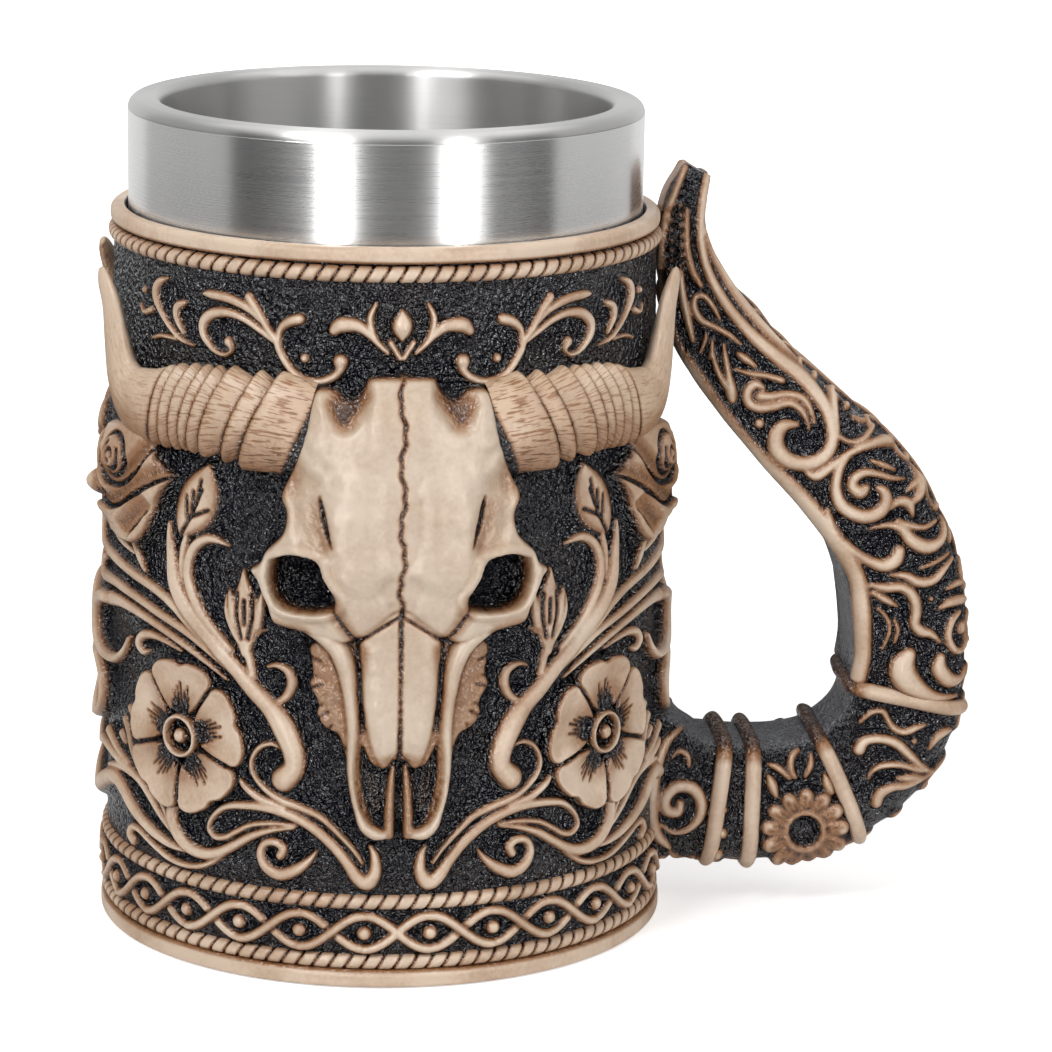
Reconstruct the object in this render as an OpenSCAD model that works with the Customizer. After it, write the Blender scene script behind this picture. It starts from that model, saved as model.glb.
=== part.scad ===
// Cast-resin tankard: steer skulls in high relief, a horn-shaped handle and a steel liner that lifts out.
// The base stands on z = 0, the front skull faces -Y and the handle is at +X. Lengths are millimetres.

/* [Barrel] */
// Radius of the plain foot ring
foot_r = 49.4; // [48.6:0.2:54]
// Height of the plain foot ring
foot_h = 3; // [2:0.25:5]
// Radius of the carved ground just above the base border
ground_foot_r = 48.2; // [47.2:0.2:53]
// Radius of the carved ground just below the rim border
ground_top_r = 46.4; // [46:0.2:52]
// Radius of the plain bead round the rim
rim_bead_r = 47; // [46.4:0.1:53]
// Height of the barrel's rim
barrel_h = 124.5; // [112:0.5:140]
// Height of the base border, with its two rope rolls
base_border_h = 16; // [12:0.5:22]
// Height of the rim border, with its rope roll
rim_border_h = 6; // [5:0.25:9]
// Radius of a rope roll's round section
rope_r = 1.3; // [0.8:0.05:1.8]
// Thickness of the barrel's wall round the liner, where it is thinnest
rim_wall = 2.05; // [1.6:0.05:5]
// Thickness of the floor under the liner
floor_t = 6; // [3:0.25:10]

/* [Liner] */
// Height of liner that shows above the barrel's rim
liner_stand = 18.2; // [10:0.2:30]
// Thickness of the steel sheet
sheet_t = 0.8; // [0.5:0.1:1.2]
// Width of the lip that joins the two walls
lip_w = 5.6; // [3:0.1:8]
// Radius of the lip's outer edge
lip_round = 1.8; // [1:0.1:2.4]
// Radius of the cup's inner bottom corner
cup_corner = 7; // [3:0.5:12]
// Space between the cup's floor and the liner's base
base_space = 5; // [2:0.5:12]
// Clearance round the liner in the barrel
liner_clearance = 0.35; // [0.3:0.05:0.6]

/* [Handle] */
// Distance from the barrel to the middle of the grip
handle_span = 44.3; // [36:0.5:56]
// Height of the handle's tip
handle_h = 130.3; // [120:0.5:145]
// Width of the grip, seen from the front
grip_w = 20.4; // [16:0.2:24]
// Depth of the grip, from front to back
grip_d = 21.2; // [16:0.2:24]
// Width of a clasping band along the handle
band_w = 3.4; // [2:0.1:5]
// Height of a clasping band above the handle
band_t = 1.5; // [0.8:0.1:2.5]
// Radius of the peg that locates the handle's foot
peg_r = 5; // [3:0.25:7]
// Length of that peg in the barrel's wall
peg_l = 2; // [1:0.1:2.2]

/* [Skull] */
// Height of the skull
skull_h = 77.5; // [65:0.5:85]
// Width of the skull across the eye sockets
skull_w = 47; // [38:0.5:52]
// Relief of the skull above the ground
skull_relief = 7.6; // [4:0.2:10]
// Height of the muzzle's end above the base border
muzzle_lift = 10.5; // [6:0.5:14]
// Radius of an eye socket
socket_r = 5.2; // [3:0.2:7]

/* [Horns] */
// Distance round the barrel from the skull's middle to a horn's root
horn_root_u = 17; // [15:0.5:20]
// Distance round the barrel from a horn's root to its tip
horn_reach = 45; // [36:0.5:50]
// Rise of a horn's tip above its root
horn_rise = 21.3; // [14:0.5:26]
// Half of a horn's thickness at its root
horn_r = 8.6; // [6:0.2:10]
// Height of the free horn tip above the ground
horn_lift = 3.4; // [2.6:0.1:6]

/* [Flowers] */
// Radius of a five-petal flower
flower_r = 13.2; // [9:0.2:15]
// Relief of a flower
flower_relief = 3; // [2:0.1:5]
// Distance round the barrel from the skull's middle to a flower's middle
flower_u = 39; // [34:0.5:46]
// Height of a flower's middle above the base border
flower_lift = 23.8; // [18:0.2:30]
// Half of a rose's width
rose_r = 9; // [6:0.5:11]
// Relief of a rose
rose_relief = 5; // [3:0.2:7]
// Distance round the barrel from the skull's middle to a rose's middle
rose_u = 58.5; // [54:0.5:64]
// Distance from a horn's root down to the level of a rose's middle
rose_drop = 16.47; // [15:0.01:22]

/* [Scrollwork] */
// Width of the widest scroll stroke
scroll_w = 4.6; // [3:0.1:6]
// Relief of the scrolls on the barrel
scroll_relief = 2; // [1:0.1:3]
// Relief of the carving on the handle
carving_relief = 0.9; // [0.5:0.1:1.5]
// Width of the carved strokes on the handle
carving_w = 2.2; // [1.5:0.1:3]

/* [Hidden] */
$fn = 96;

// Film of glue between a resin piece and what it is glued to
glue_gap = 0.15;
// Least gap between a scroll and a piece that is glued beside it, and the length over which a scroll sinks
scroll_gap = 0.8;
scroll_ramp = 1.5;
// Gap under the liner where it stands on the barrel's floor
seat_gap = 0.3;
// Overrun of every cut
overrun = 1;
// Least thickness of a resin piece at its rim
rim_t = 1;
// Depth of a peg's root inside the handle
peg_root = 4;
// Rounding of the foot ring's lower edge and of the rim bead
edge_round = 1;

// Barrel levels and radii
rim_border_z = barrel_h - rim_border_h;
panel_h = rim_border_z - base_border_h;
pocket_r = min(ground_top_r, ground_foot_r) - rim_wall;
braid_r = ground_foot_r;
rope_sink_share = 0.3;
rim_bead_share = 0.45;
rim_bead_h = rim_border_h * rim_bead_share;
rim_rope_z = rim_border_z + (rim_border_h - rim_bead_h) / 2;
low_rope_z = foot_h + rope_r;
high_rope_z = base_border_h - rope_r;

// Liner radius and levels
liner_r = pocket_r - liner_clearance;
liner_z = floor_t + seat_gap;
rim_z = barrel_h + liner_stand;
lip_z = rim_z - lip_round;
cup_r = liner_r - lip_w;
cup_z = liner_z + sheet_t + base_space;

// Places on the panel
skull_z = base_border_h + muzzle_lift;
horn_root_share = 0.877;
horn_root_z = skull_z + skull_h * horn_root_share;

// Ground radius of the barrel at a height, and the radius of the glue film, which clears both borders
function ground_r(z) =
    let (share = (z - base_border_h) / panel_h)
    ground_foot_r + (ground_top_r - ground_foot_r) * min(max(share, 0), 1);
rope_proud = rope_r * (1 - rope_sink_share);
rim_border_r = max(rim_bead_r, ground_top_r + rope_proud);
base_border_r = braid_r + rope_proud;
border_reach = 4 * rope_r;
function seat_r(z) = glue_gap + (z > rim_border_z - border_reach ? rim_border_r
    : z < base_border_h + border_reach ? base_border_r : ground_r(z));

// A point at u round the barrel from the front's middle, at height z, and h above the glue film
function on_barrel(u, z, h) =
    let (r = ground_r(z) + glue_gap + h, a = u / ground_foot_r * 180 / PI)
    [r * sin(a), -r * cos(a), z];

// Smooth curve through a list of points, with steps between each two
function curve_point(list, i, t) =
    let (last = len(list) - 1, a = list[max(i - 1, 0)], b = list[i], c = list[min(i + 1, last)],
         d = list[min(i + 2, last)])
    b + t / 2 * ((c - a) + t * ((2 * a - 5 * b + 4 * c - d) + t * (3 * (b - c) + d - a)));
function smooth(list, steps) = concat(
    [for (i = [0 : len(list) - 2], k = [0 : steps - 1]) curve_point(list, i, k / steps)],
    [list[len(list) - 1]]);

// Triangles of a skin of n rings with m points each, closed by a pole at both ends
function skin_faces(n, m) = concat(
    [for (j = [0 : m - 1]) [0, 1 + j, 1 + (j + 1) % m]],
    [for (i = [0 : n - 2], j = [0 : m - 1])
        let (a = 1 + i * m + j, b = 1 + i * m + (j + 1) % m)
        for (face = [[a, a + m, b], [b, a + m, b + m]]) face],
    [for (j = [0 : m - 1]) [n * m + 1, 1 + (n - 1) * m + (j + 1) % m, 1 + (n - 1) * m + j]]);
function joined(rings) = [for (ring = rings, point = ring) point];
module skin(first_pole, rings, last_pole) {
    polyhedron(concat([first_pole], joined(rings), [last_pole]), skin_faces(len(rings), len(rings[0])));
}

// A round-cornered square outline of half sizes 1, at an angle: crisp towards the fingers, rounder outside
crisp_power_share = 0.36;
round_power_share = 0.55;
function rounded(a) =
    let (power = cos(a) < 0 ? crisp_power_share : round_power_share)
    [sign(cos(a)) * pow(abs(cos(a)), power), sign(sin(a)) * pow(abs(sin(a)), power)];

// Ridge: a rounded stroke along a surface, from places that each hold a point of the surface, the way out
// of it, half the width, the rise and how far the stroke sinks there

ridge_shares = [[-1, -0.4], [-0.62, 0.78], [0, 1], [0.62, 0.78], [1, -0.4]];
ridge_cap_share = 0.3;
function ridge_ring(places, i) =
    let (last = len(places) - 1, s = places[i],
         d = places[min(i + 1, last)][0] - places[max(i - 1, 0)][0], side = cross(d / norm(d), s[1]))
    [for (r = ridge_shares) s[0] + side * r[0] * s[2] + s[1] * (r[1] * s[3] - s[4])];
function ridge_pole(s) = s[0] + s[1] * (ridge_cap_share * s[3] - s[4]);
module ridge(places) {
    last = len(places) - 1;
    skin(ridge_pole(places[0]), [for (i = [0 : last]) ridge_ring(places, i)], ridge_pole(places[last]));
}

// Scrolls of one quarter of the barrel, from the skull's middle to the side: each place is a share of the
// quarter, of the panel's height and of half the widest stroke

scroll_shares = [
    // Stem that bears the leaves
    [[0.251, 0.188, 1], [0.227, 0.22, 0.9], [0.258, 0.283, 1], [0.324, 0.332, 0.8], [0.407, 0.385, 0.75],
     [0.483, 0.434, 0.85], [0.543, 0.488, 0.8], [0.565, 0.556, 0.45]],
    // Bud and leaf
    [[0.346, 0.405, 0.5], [0.346, 0.429, 1], [0.345, 0.468, 1.2], [0.347, 0.502, 0.75], [0.35, 0.523, 0.3]],
    [[0.519, 0.581, 0.5], [0.506, 0.595, 1.1], [0.479, 0.62, 1.7], [0.462, 0.644, 1.5], [0.45, 0.671, 0.65]],
    // Hook and strand towards the side
    [[0.561, 0.393, 0.45], [0.674, 0.412, 0.5], [0.766, 0.416, 0.6], [0.872, 0.408, 0.8],
     [0.951, 0.385, 0.9], [0.97, 0.351, 0.9], [0.931, 0.323, 0.85], [0.845, 0.312, 0.7],
     [0.766, 0.324, 0.55], [0.73, 0.346, 0.4]],
    [[0.938, 0.498, 0.6], [0.819, 0.484, 0.6], [0.72, 0.475, 0.55], [0.627, 0.464, 0.55]],
    // Scrolls above the base border
    [[0.071, 0.025, 0.45], [0.116, 0.06, 0.55], [0.174, 0.105, 0.55], [0.251, 0.132, 0.55],
     [0.343, 0.135, 0.45]],
    [[0.502, 0.119, 0.4], [0.536, 0.111, 0.6], [0.544, 0.088, 0.7], [0.526, 0.062, 0.7], [0.482, 0.043, 0.6],
     [0.409, 0.048, 0.5], [0.343, 0.078, 0.4]],
    [[0.819, 0.105, 0.8], [0.76, 0.105, 0.8], [0.7, 0.08, 0.75], [0.654, 0.062, 0.65], [0.601, 0.048, 0.55]],
    // Ring at the side
    [[0.938, 0.283, 0.55], [0.898, 0.279, 0.6], [0.864, 0.254, 0.6], [0.878, 0.224, 0.6],
     [0.925, 0.209, 0.6]],
    // Sprays under the rim border
    [[0.416, 0.876, 0.35], [0.454, 0.893, 0.45], [0.465, 0.917, 0.5], [0.429, 0.938, 0.5],
     [0.363, 0.933, 0.45], [0.297, 0.906, 0.35]],
    [[0.616, 0.969, 0.45], [0.623, 0.946, 0.5], [0.598, 0.916, 0.4], [0.542, 0.887, 0.35]],
    [[0.145, 0.931, 0.55], [0.098, 0.936, 0.55], [0.055, 0.91, 0.35]]];
scroll_steps = 2;
scroll_low_share = 0.45;
quarter = ground_foot_r * PI / 2;

// Distance at a place on the panel to the skull, the horn, the flower and the rose, which scrolls run under
function skull_clear(u, z) =
    let (half = lookup((z - skull_z) / skull_h, [for (s = skull_shares) [s[0], s[1]]]) * skull_w / 2)
    max(u - half, skull_z - z, z - skull_z - skull_h);
function horn_clear(u, z) =
    min([for (i = [0 : horn_last]) let (s = horn_station(i)) norm([u - s[0], z - s[1]]) - s[2]]);
function flower_clear(u, z) = norm([u - flower_u, z - base_border_h - flower_lift]) - flower_r;
function rose_clear(u, z) =
    norm([u - rose_u, (z - horn_root_z + rose_drop) / rose_tall_share]) - rose_r * (1 + rose_lobe_share);
function scroll_sink(u, z, half, rise) =
    let (nearest = min(skull_clear(u, z), horn_clear(u, z), flower_clear(u, z), rose_clear(u, z)),
         clear = nearest - half - scroll_gap)
    (rise + rim_t) * (1 - min(max(clear / scroll_ramp, 0), 1));
function scroll_place(s) =
    let (u = s[0] * quarter, z = base_border_h + s[1] * panel_h, half = s[2] * scroll_w / 2,
         rise = scroll_relief * min(1, scroll_low_share + (1 - scroll_low_share) * s[2]),
         a = u / ground_foot_r * 180 / PI)
    [on_barrel(u, z, -glue_gap), [sin(a), -cos(a), 0], half, rise, scroll_sink(u, z, half, rise)];
module scrolls_quarter() {
    for (stroke_shares = scroll_shares)
        ridge([for (s = smooth(stroke_shares, scroll_steps)) scroll_place(s)]);
}
module scrolls() {
    for (turn = [0, 180]) rotate(turn) {
        scrolls_quarter();
        mirror([1, 0, 0]) scrolls_quarter();
    }
}

// Barrel

module rolled(r, z, section_r) {
    rotate_extrude() translate([r, z]) circle(section_r, $fn = 32);
}

module barrel_body() {
    rotate_extrude() polygon([
        [0, 0], [foot_r - edge_round, 0], [foot_r, edge_round], [foot_r, foot_h], [braid_r, foot_h],
        [ground_foot_r, base_border_h], [ground_top_r, rim_border_z],
        [ground_top_r, barrel_h - rim_bead_h], [rim_bead_r, barrel_h - rim_bead_h],
        [rim_bead_r, barrel_h - edge_round], [rim_bead_r - edge_round, barrel_h], [0, barrel_h]]);
}

module barrel() color("#2a2624") {
    difference() {
        union() {
            barrel_body();
            for (z = [low_rope_z, high_rope_z]) rolled(braid_r - rope_r * rope_sink_share, z, rope_r);
            rolled(ground_top_r - rope_r * rope_sink_share, rim_rope_z, rope_r);
            scrolls();
        }
        translate([0, 0, floor_t]) cylinder(r = pocket_r, h = barrel_h);
        translate([ground_r(peg_z) - peg_l - glue_gap, 0, peg_z]) rotate([0, 90, 0])
            cylinder(r = peg_r + glue_gap, h = peg_l + glue_gap + foot_r - ground_top_r + overrun);
    }
}

// Handle: stations from the foot to the tip as shares of the span, the height, the width and the depth

handle_shares = [
    [0, 0.160, 1.42, 1.08], [0.07, 0.155, 1.20, 1.03], [0.14, 0.150, 1.09, 1.01],
    [0.20, 0.147, 1.08, 1.00], [0.34, 0.143, 1.08, 1.00], [0.54, 0.145, 1.07, 1.00],
    [0.72, 0.163, 1.04, 1.00], [0.88, 0.203, 1.02, 1.00], [0.97, 0.254, 1.00, 1.00],
    [1.00, 0.315, 1.00, 1.00], [1.00, 0.384, 1.00, 1.00], [0.96, 0.460, 1.00, 1.00],
    [0.866, 0.535, 0.97, 0.98], [0.72, 0.602, 0.92, 0.94], [0.53, 0.664, 0.82, 0.85],
    [0.356, 0.725, 0.75, 0.74], [0.208, 0.790, 0.69, 0.60], [0.115, 0.851, 0.54, 0.50],
    [0.075, 0.912, 0.40, 0.44], [0.090, 0.959, 0.32, 0.36], [0.150, 1, 0.22, 0.24]];
handle_steps = 3;
handle_sides = 20;
handle_foot_z = handle_shares[0][1] * handle_h;
peg_z = handle_foot_z;
handle_curve = smooth(handle_shares, handle_steps);
handle_sizes = [handle_span, handle_h, grip_w / 2, grip_d / 2];

// Middle of the handle at a station: x, z, half width and half depth
function handle_at(i) =
    let (s = handle_curve[i])
    [ground_r(handle_foot_z) + s[0] * handle_sizes[0], s[1] * handle_sizes[1],
     s[2] * handle_sizes[2], s[3] * handle_sizes[3]];
// Direction of the handle at a station: straight up at the tip, so that the tip ends flat
handle_last = len(handle_curve) - 1;
function handle_along(i) =
    let (a = handle_at(max(i - 1, 0)), b = handle_at(min(i + 1, handle_last)),
         d = i == handle_last ? [0, 1] : [b[0] - a[0], b[1] - a[1]])
    d / norm(d);

// Point of the handle's section at a station: a is the angle, and grow stands proud of the handle
function handle_point(i, a, grow) =
    let (s = handle_at(i), t = handle_along(i), p = rounded(a), w = p[0] * (s[2] + grow))
    [s[0] + t[1] * w, p[1] * (s[3] + grow), s[1] - t[0] * w];

// The same, a distance along from a station
function handle_point_along(i, shift, a, grow) =
    let (here = handle_at(i), next = handle_at(i + 1),
         s = i + shift / norm([next[0] - here[0], next[1] - here[1]]), k = floor(s), f = s - k)
    handle_point(k, a, grow) * (1 - f) + handle_point(k + 1, a, grow) * f;

// A point of ring i of the handle, kept clear of the barrel and of the rings before it near the foot,
// and a point set on the barrel's glue film
foot_ring_step = 0.25;
foot_rings = 3;
function cleared(p, i) =
    let (clear_r = seat_r(p[2]) + foot_ring_step * min(i, foot_rings),
         grown = max(1, clear_r / norm([p[0], p[1]])))
    [p[0] * grown, p[1] * grown, p[2]];
function seated(p) =
    let (r = seat_r(p[2]))
    [sqrt(r * r - p[1] * p[1]), p[1], p[2]];

foot_cap_shares = [0.62, 1];
function handle_angles() = [for (k = [0 : handle_sides - 1]) 360 * k / handle_sides];
function handle_ring(i) = [for (a = handle_angles()) cleared(handle_point(i, a, 0), i)];
function handle_foot_ring(share) =
    let (s = handle_at(0))
    [for (a = handle_angles()) let (p = rounded(a) * share)
        seated([s[0], p[1] * s[3], s[1] - p[0] * s[2]])];

// Carving on the handle: each place is a station, an angle round the section and a share of half the stroke.
// The first list lies on both sides, and the second on the outer face
side_carving_shares = [
    // Bead along the finger side, and the moulding from the tip
    [[33, 118, 1], [36, 118, 1], [39, 118, 1], [42, 118, 1], [45, 118, 1], [48, 118, 0.9], [51, 118, 0.7]],
    [[57, 66, 0.6], [54, 64, 0.7], [51, 62, 0.8], [48, 62, 0.9], [45, 62, 1], [42, 64, 1], [40.6, 82, 1]],
    // Waves on the grip and round the bend
    [[38.5, 66, 0.8], [36.5, 98, 1], [34.5, 66, 1], [32.5, 98, 1], [30.5, 66, 1], [28.5, 96, 0.8]],
    [[20.5, 70, 0.8], [22.2, 98, 1], [24, 70, 0.8]],
    // Bosses beside the bands
    [[13.9, 86, 1.2], [15.3, 86, 3], [16.7, 86, 1.2]],
    [[3.6, 84, 1], [5.4, 84, 2], [7.2, 84, 1]]];
outer_carving_shares = [
    [[28, 20, 0.8], [31, -20, 1], [34, 20, 1], [37, -20, 1], [40, 20, 1], [43, -20, 1], [46, 14, 0.7]]];
carving_steps = 3;
function handle_between(i, a, grow) =
    let (k = min(floor(i), handle_last - 1), f = i - k)
    handle_point(k, a, grow) * (1 - f) + handle_point(k + 1, a, grow) * f;
function carving_place(s, side) =
    let (p = handle_between(s[0], side * s[1], 0), q = handle_between(s[0], side * s[1], carving_relief))
    [p, (q - p) / norm(q - p), s[2] * carving_w / 2, carving_relief, 0];
module carving(list_shares, side) {
    for (stroke_shares = list_shares)
        ridge([for (s = smooth(stroke_shares, carving_steps)) carving_place(s, side)]);
}

module handle() color("#4a3a2c") {
    tip = handle_at(handle_last);
    union() {
        skin(seated([handle_at(0)[0], 0, handle_foot_z]),
             concat([for (share = foot_cap_shares) handle_foot_ring(share)],
                    [for (i = [1 : handle_last]) handle_ring(i)]),
             [tip[0], 0, tip[1]]);
        translate([ground_r(peg_z) - peg_l, 0, peg_z]) rotate([0, 90, 0])
            cylinder(r = peg_r, h = peg_l + peg_root);
        for (side = [1, -1]) carving(side_carving_shares, side);
        carving(outer_carving_shares, 1);
    }
}

// Clasping bands: a half-round section swept round the handle. Each is placed by a station, how far past it
// the band lies and how far the band leans, both as shares of the band's width

band_round_shares = [[-0.5, 0], [-0.42, 0.55], [-0.2, 0.93], [0.2, 0.93], [0.42, 0.55], [0.5, 0]];
foot_band_shares = [9, 0.5, 0];
lower_band_shares = [12, 0.47, 0];
bend_band_shares = [18, 0.32, 0.32];
grip_band_shares = [26, 0, 0.32];

module handle_band(place_shares) color("#d8bf9c") {
    m = handle_sides;
    n = len(band_round_shares);
    points = [for (s = band_round_shares, a = handle_angles())
        let (shift = band_w * (s[0] + place_shares[1] - place_shares[2] * rounded(a)[0]))
        handle_point_along(place_shares[0], shift, a, 2 * glue_gap + s[1] * band_t)];
    faces = [for (k = [0 : n - 1], j = [0 : m - 1])
        let (next = (k + 1) % n, beside = (j + 1) % m,
             a = k * m + j, b = k * m + beside, c = next * m + j, d = next * m + beside)
        for (face = [[a, c, b], [b, c, d]]) face];
    polyhedron(points, faces);
}
module handle_band_foot() handle_band(foot_band_shares);
module handle_band_lower() handle_band(lower_band_shares);
module handle_band_bend() handle_band(bend_band_shares);
module handle_band_grip() handle_band(grip_band_shares);

// Skull: rows from the muzzle to the poll as shares of the height, the half width and the relief

skull_shares = [
    [0, 0.17, 0.40], [0.03, 0.26, 0.50], [0.09, 0.32, 0.58], [0.15, 0.35, 0.66], [0.25, 0.39, 0.76],
    [0.35, 0.46, 0.84], [0.42, 0.56, 0.88], [0.455, 0.80, 0.90], [0.50, 0.92, 0.92], [0.55, 1.00, 0.95],
    [0.60, 0.94, 0.98], [0.65, 0.86, 1.00], [0.71, 0.80, 1.00], [0.75, 0.72, 0.99], [0.78, 0.69, 0.97],
    [0.87, 0.66, 0.90], [0.94, 0.61, 0.78], [0.98, 0.52, 0.62], [1, 0.40, 0.50]];
skull_steps = 2;
skull_columns = 16;
socket_u_share = 0.70;
socket_z_share = 0.553;
socket_floor_share = 0.1;
skull_power_share = 0.6;

function skull_row(i) =
    let (s = smooth(skull_shares, skull_steps)[i])
    [skull_z + s[0] * skull_h, s[1] * skull_w / 2, s[2] * skull_relief];
function socket_fill(u, z) =
    let (d = norm([abs(u) - socket_u_share * skull_w / 2, z - skull_z - socket_z_share * skull_h]) / socket_r)
    d < 1 ? max(socket_floor_share, d * d) : 1;
function skull_height(u, row) =
    let (t = min(abs(u) / row[1], 1), dome = pow(1 - t * t, skull_power_share))
    rim_t + max(row[2] - rim_t, 0) * dome * socket_fill(u, row[0]);
function skull_ring(i) =
    let (row = skull_row(i), us = [for (k = [0 : skull_columns]) row[1] * (2 * k / skull_columns - 1)])
    concat([for (u = us) on_barrel(u, row[0], skull_height(u, row))],
           [for (k = [0 : skull_columns]) on_barrel(-us[k], row[0], 0)]);

module skull() color("#e3cfae") {
    last = (len(skull_shares) - 1) * skull_steps;
    skin(on_barrel(0, skull_z, rim_t / 2), [for (i = [0 : last]) skull_ring(i)],
         on_barrel(0, skull_z + skull_h, rim_t / 2));
}
module skull_front() skull();
module skull_back() rotate(180) skull();

// Horn: stations from root to tip as shares of the reach, the rise, the root's half thickness and the lift

horn_shares = [
    [0, 0, 1, 0.35], [0.22, 0.06, 0.91, 0.40], [0.445, 0.07, 0.84, 0.45], [0.635, 0.02, 0.73, 0.50],
    [0.78, 0.045, 0.65, 0.55], [0.867, 0.21, 0.53, 0.65], [0.90, 0.47, 0.40, 0.82], [0.92, 0.73, 0.26, 1],
    [1, 1, 0.06, 1.25]];
horn_steps = 3;
horn_sides = 14;
horn_flat_share = 0.5;
horn_curve = smooth(horn_shares, horn_steps);
horn_last = len(horn_curve) - 1;

function horn_station(i) =
    let (s = horn_curve[i])
    [horn_root_u + s[0] * horn_reach, horn_root_z + s[1] * horn_rise, s[2] * horn_r, s[3] * horn_lift];
function horn_along(i) =
    let (d = horn_station(min(i + 1, horn_last)) - horn_station(max(i - 1, 0)))
    [d[0], d[1]] / norm([d[0], d[1]]);
function horn_ring(i) =
    let (s = horn_station(i), t = i == 0 ? [1, 0] : horn_along(i))
    [for (k = [0 : horn_sides - 1]) let (a = 360 * k / horn_sides, w = s[2] * cos(a))
        on_barrel(s[0] - t[1] * w, s[1] + t[0] * w, max(s[3] + horn_flat_share * s[2] * sin(a), 0))];

module horn() color("#c9a982") {
    root = horn_station(0);
    tip = horn_station(horn_last);
    skin(on_barrel(root[0], root[1], root[3]), [for (i = [0 : horn_last]) horn_ring(i)],
         on_barrel(tip[0], tip[1], tip[3]));
}
module horn_front_right() horn();
module horn_front_left() mirror([1, 0, 0]) horn();
module horn_back_right() rotate(180) horn_front_left();
module horn_back_left() rotate(180) horn();

// Flower and rose: a patch of rings round a middle point, from its crown out to its rim and back under it

patch_under_shares = [1, 0.7, 0.35];
function rim_drop(share) = sqrt(max(1 - share * share, 0));
function patch_ring(u, z, reach, share, h) =
    [for (k = [0 : len(reach) - 1])
        let (a = -360 * k / len(reach), r = reach[k] * share)
        on_barrel(u + r * cos(a), z + r * sin(a), h)];
module patch(u, z, reach, ring_shares, relief) {
    skin(on_barrel(u, z, relief),
         concat([for (share = ring_shares)
                    patch_ring(u, z, reach, share, rim_t + (relief - rim_t) * rim_drop(share))],
                [for (share = patch_under_shares) patch_ring(u, z, reach, share, 0)]),
         on_barrel(u, z, 0));
}

petal_count = 5;
petal_notch_share = 0.3;
petal_power_share = 0.5;
petal_turn = 45;
flower_sides = 40;
flower_ring_shares = [0.25, 0.5, 0.75, 0.92, 1];
function petal_reach(k) =
    let (wave = abs(sin(petal_count * 180 * k / flower_sides - petal_turn)))
    flower_r * (1 - petal_notch_share + petal_notch_share * pow(wave, petal_power_share));
module flower() color("#dcc5a4") {
    patch(flower_u, base_border_h + flower_lift, [for (k = [0 : flower_sides - 1]) petal_reach(k)],
          flower_ring_shares, flower_relief);
}
module flower_front_right() flower();
module flower_front_left() mirror([1, 0, 0]) flower();
module flower_back_right() rotate(180) flower_front_left();
module flower_back_left() rotate(180) flower();

rose_sides = 24;
rose_ring_shares = [0.3, 0.55, 0.8, 0.94, 1];
rose_tall_share = 1.15;
rose_lobe_share = 0.06;
rose_lobes = 5;
function rose_reach(k) =
    let (a = 360 * k / rose_sides)
    rose_r * (1 + (rose_tall_share - 1) * abs(sin(a)) + rose_lobe_share * cos(rose_lobes * a));
module rose() color("#cdb08a") {
    patch(rose_u, horn_root_z - rose_drop, [for (k = [0 : rose_sides - 1]) rose_reach(k)],
          rose_ring_shares, rose_relief);
}
module rose_front_right() rose();
module rose_front_left() mirror([1, 0, 0]) rose();
module rose_back_right() rotate(180) rose_front_left();
module rose_back_left() rotate(180) rose();

// Liner: cup with its lip, outer shell and base disc

module cup_outline(r, h, corner) {
    translate([0, corner]) square([r, h - corner]);
    square([r - corner, corner]);
    translate([r - corner, corner]) intersection() {
        circle(corner);
        translate([0, -corner]) square(corner);
    }
}

module lip_outline() {
    square([liner_r - lip_round, lip_round]);
    translate([liner_r - lip_round, 0]) intersection() {
        circle(lip_round);
        square(lip_round);
    }
}

module liner_cup() color("#c9c9c9") {
    rotate_extrude() difference() {
        union() {
            translate([0, cup_z]) cup_outline(cup_r + sheet_t, rim_z - cup_z, cup_corner + sheet_t);
            translate([0, lip_z]) lip_outline();
        }
        translate([0, cup_z + sheet_t]) cup_outline(cup_r, rim_z - cup_z, cup_corner);
    }
}

module liner_shell() color("#bdbdbd") {
    translate([0, 0, liner_z + sheet_t]) difference() {
        cylinder(r = liner_r, h = lip_z - liner_z - sheet_t);
        translate([0, 0, -overrun]) cylinder(r = liner_r - sheet_t, h = rim_z + overrun);
    }
}

module liner_base() color("#b4b4b4") {
    translate([0, 0, liner_z]) cylinder(r = liner_r, h = sheet_t);
}

barrel();
handle();
handle_band_foot();
handle_band_lower();
handle_band_bend();
handle_band_grip();
skull_front();
skull_back();
horn_front_left();
horn_front_right();
horn_back_left();
horn_back_right();
rose_front_left();
rose_front_right();
rose_back_left();
rose_back_right();
flower_front_left();
flower_front_right();
flower_back_left();
flower_back_right();
liner_cup();
liner_shell();
liner_base();
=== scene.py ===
"""Looks of a cast-resin tankard with steer skulls and a lift-out steel liner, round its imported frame.

Relief is carved on flat fields in millimetres and then laid on the barrel or the handle. A field holds the
height above the ground and the paint: 0 is the black wash of the ground and 1 is bare bone colour.
"""
import math

import bpy
import numpy as np
from mathutils import Matrix, Vector


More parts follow.
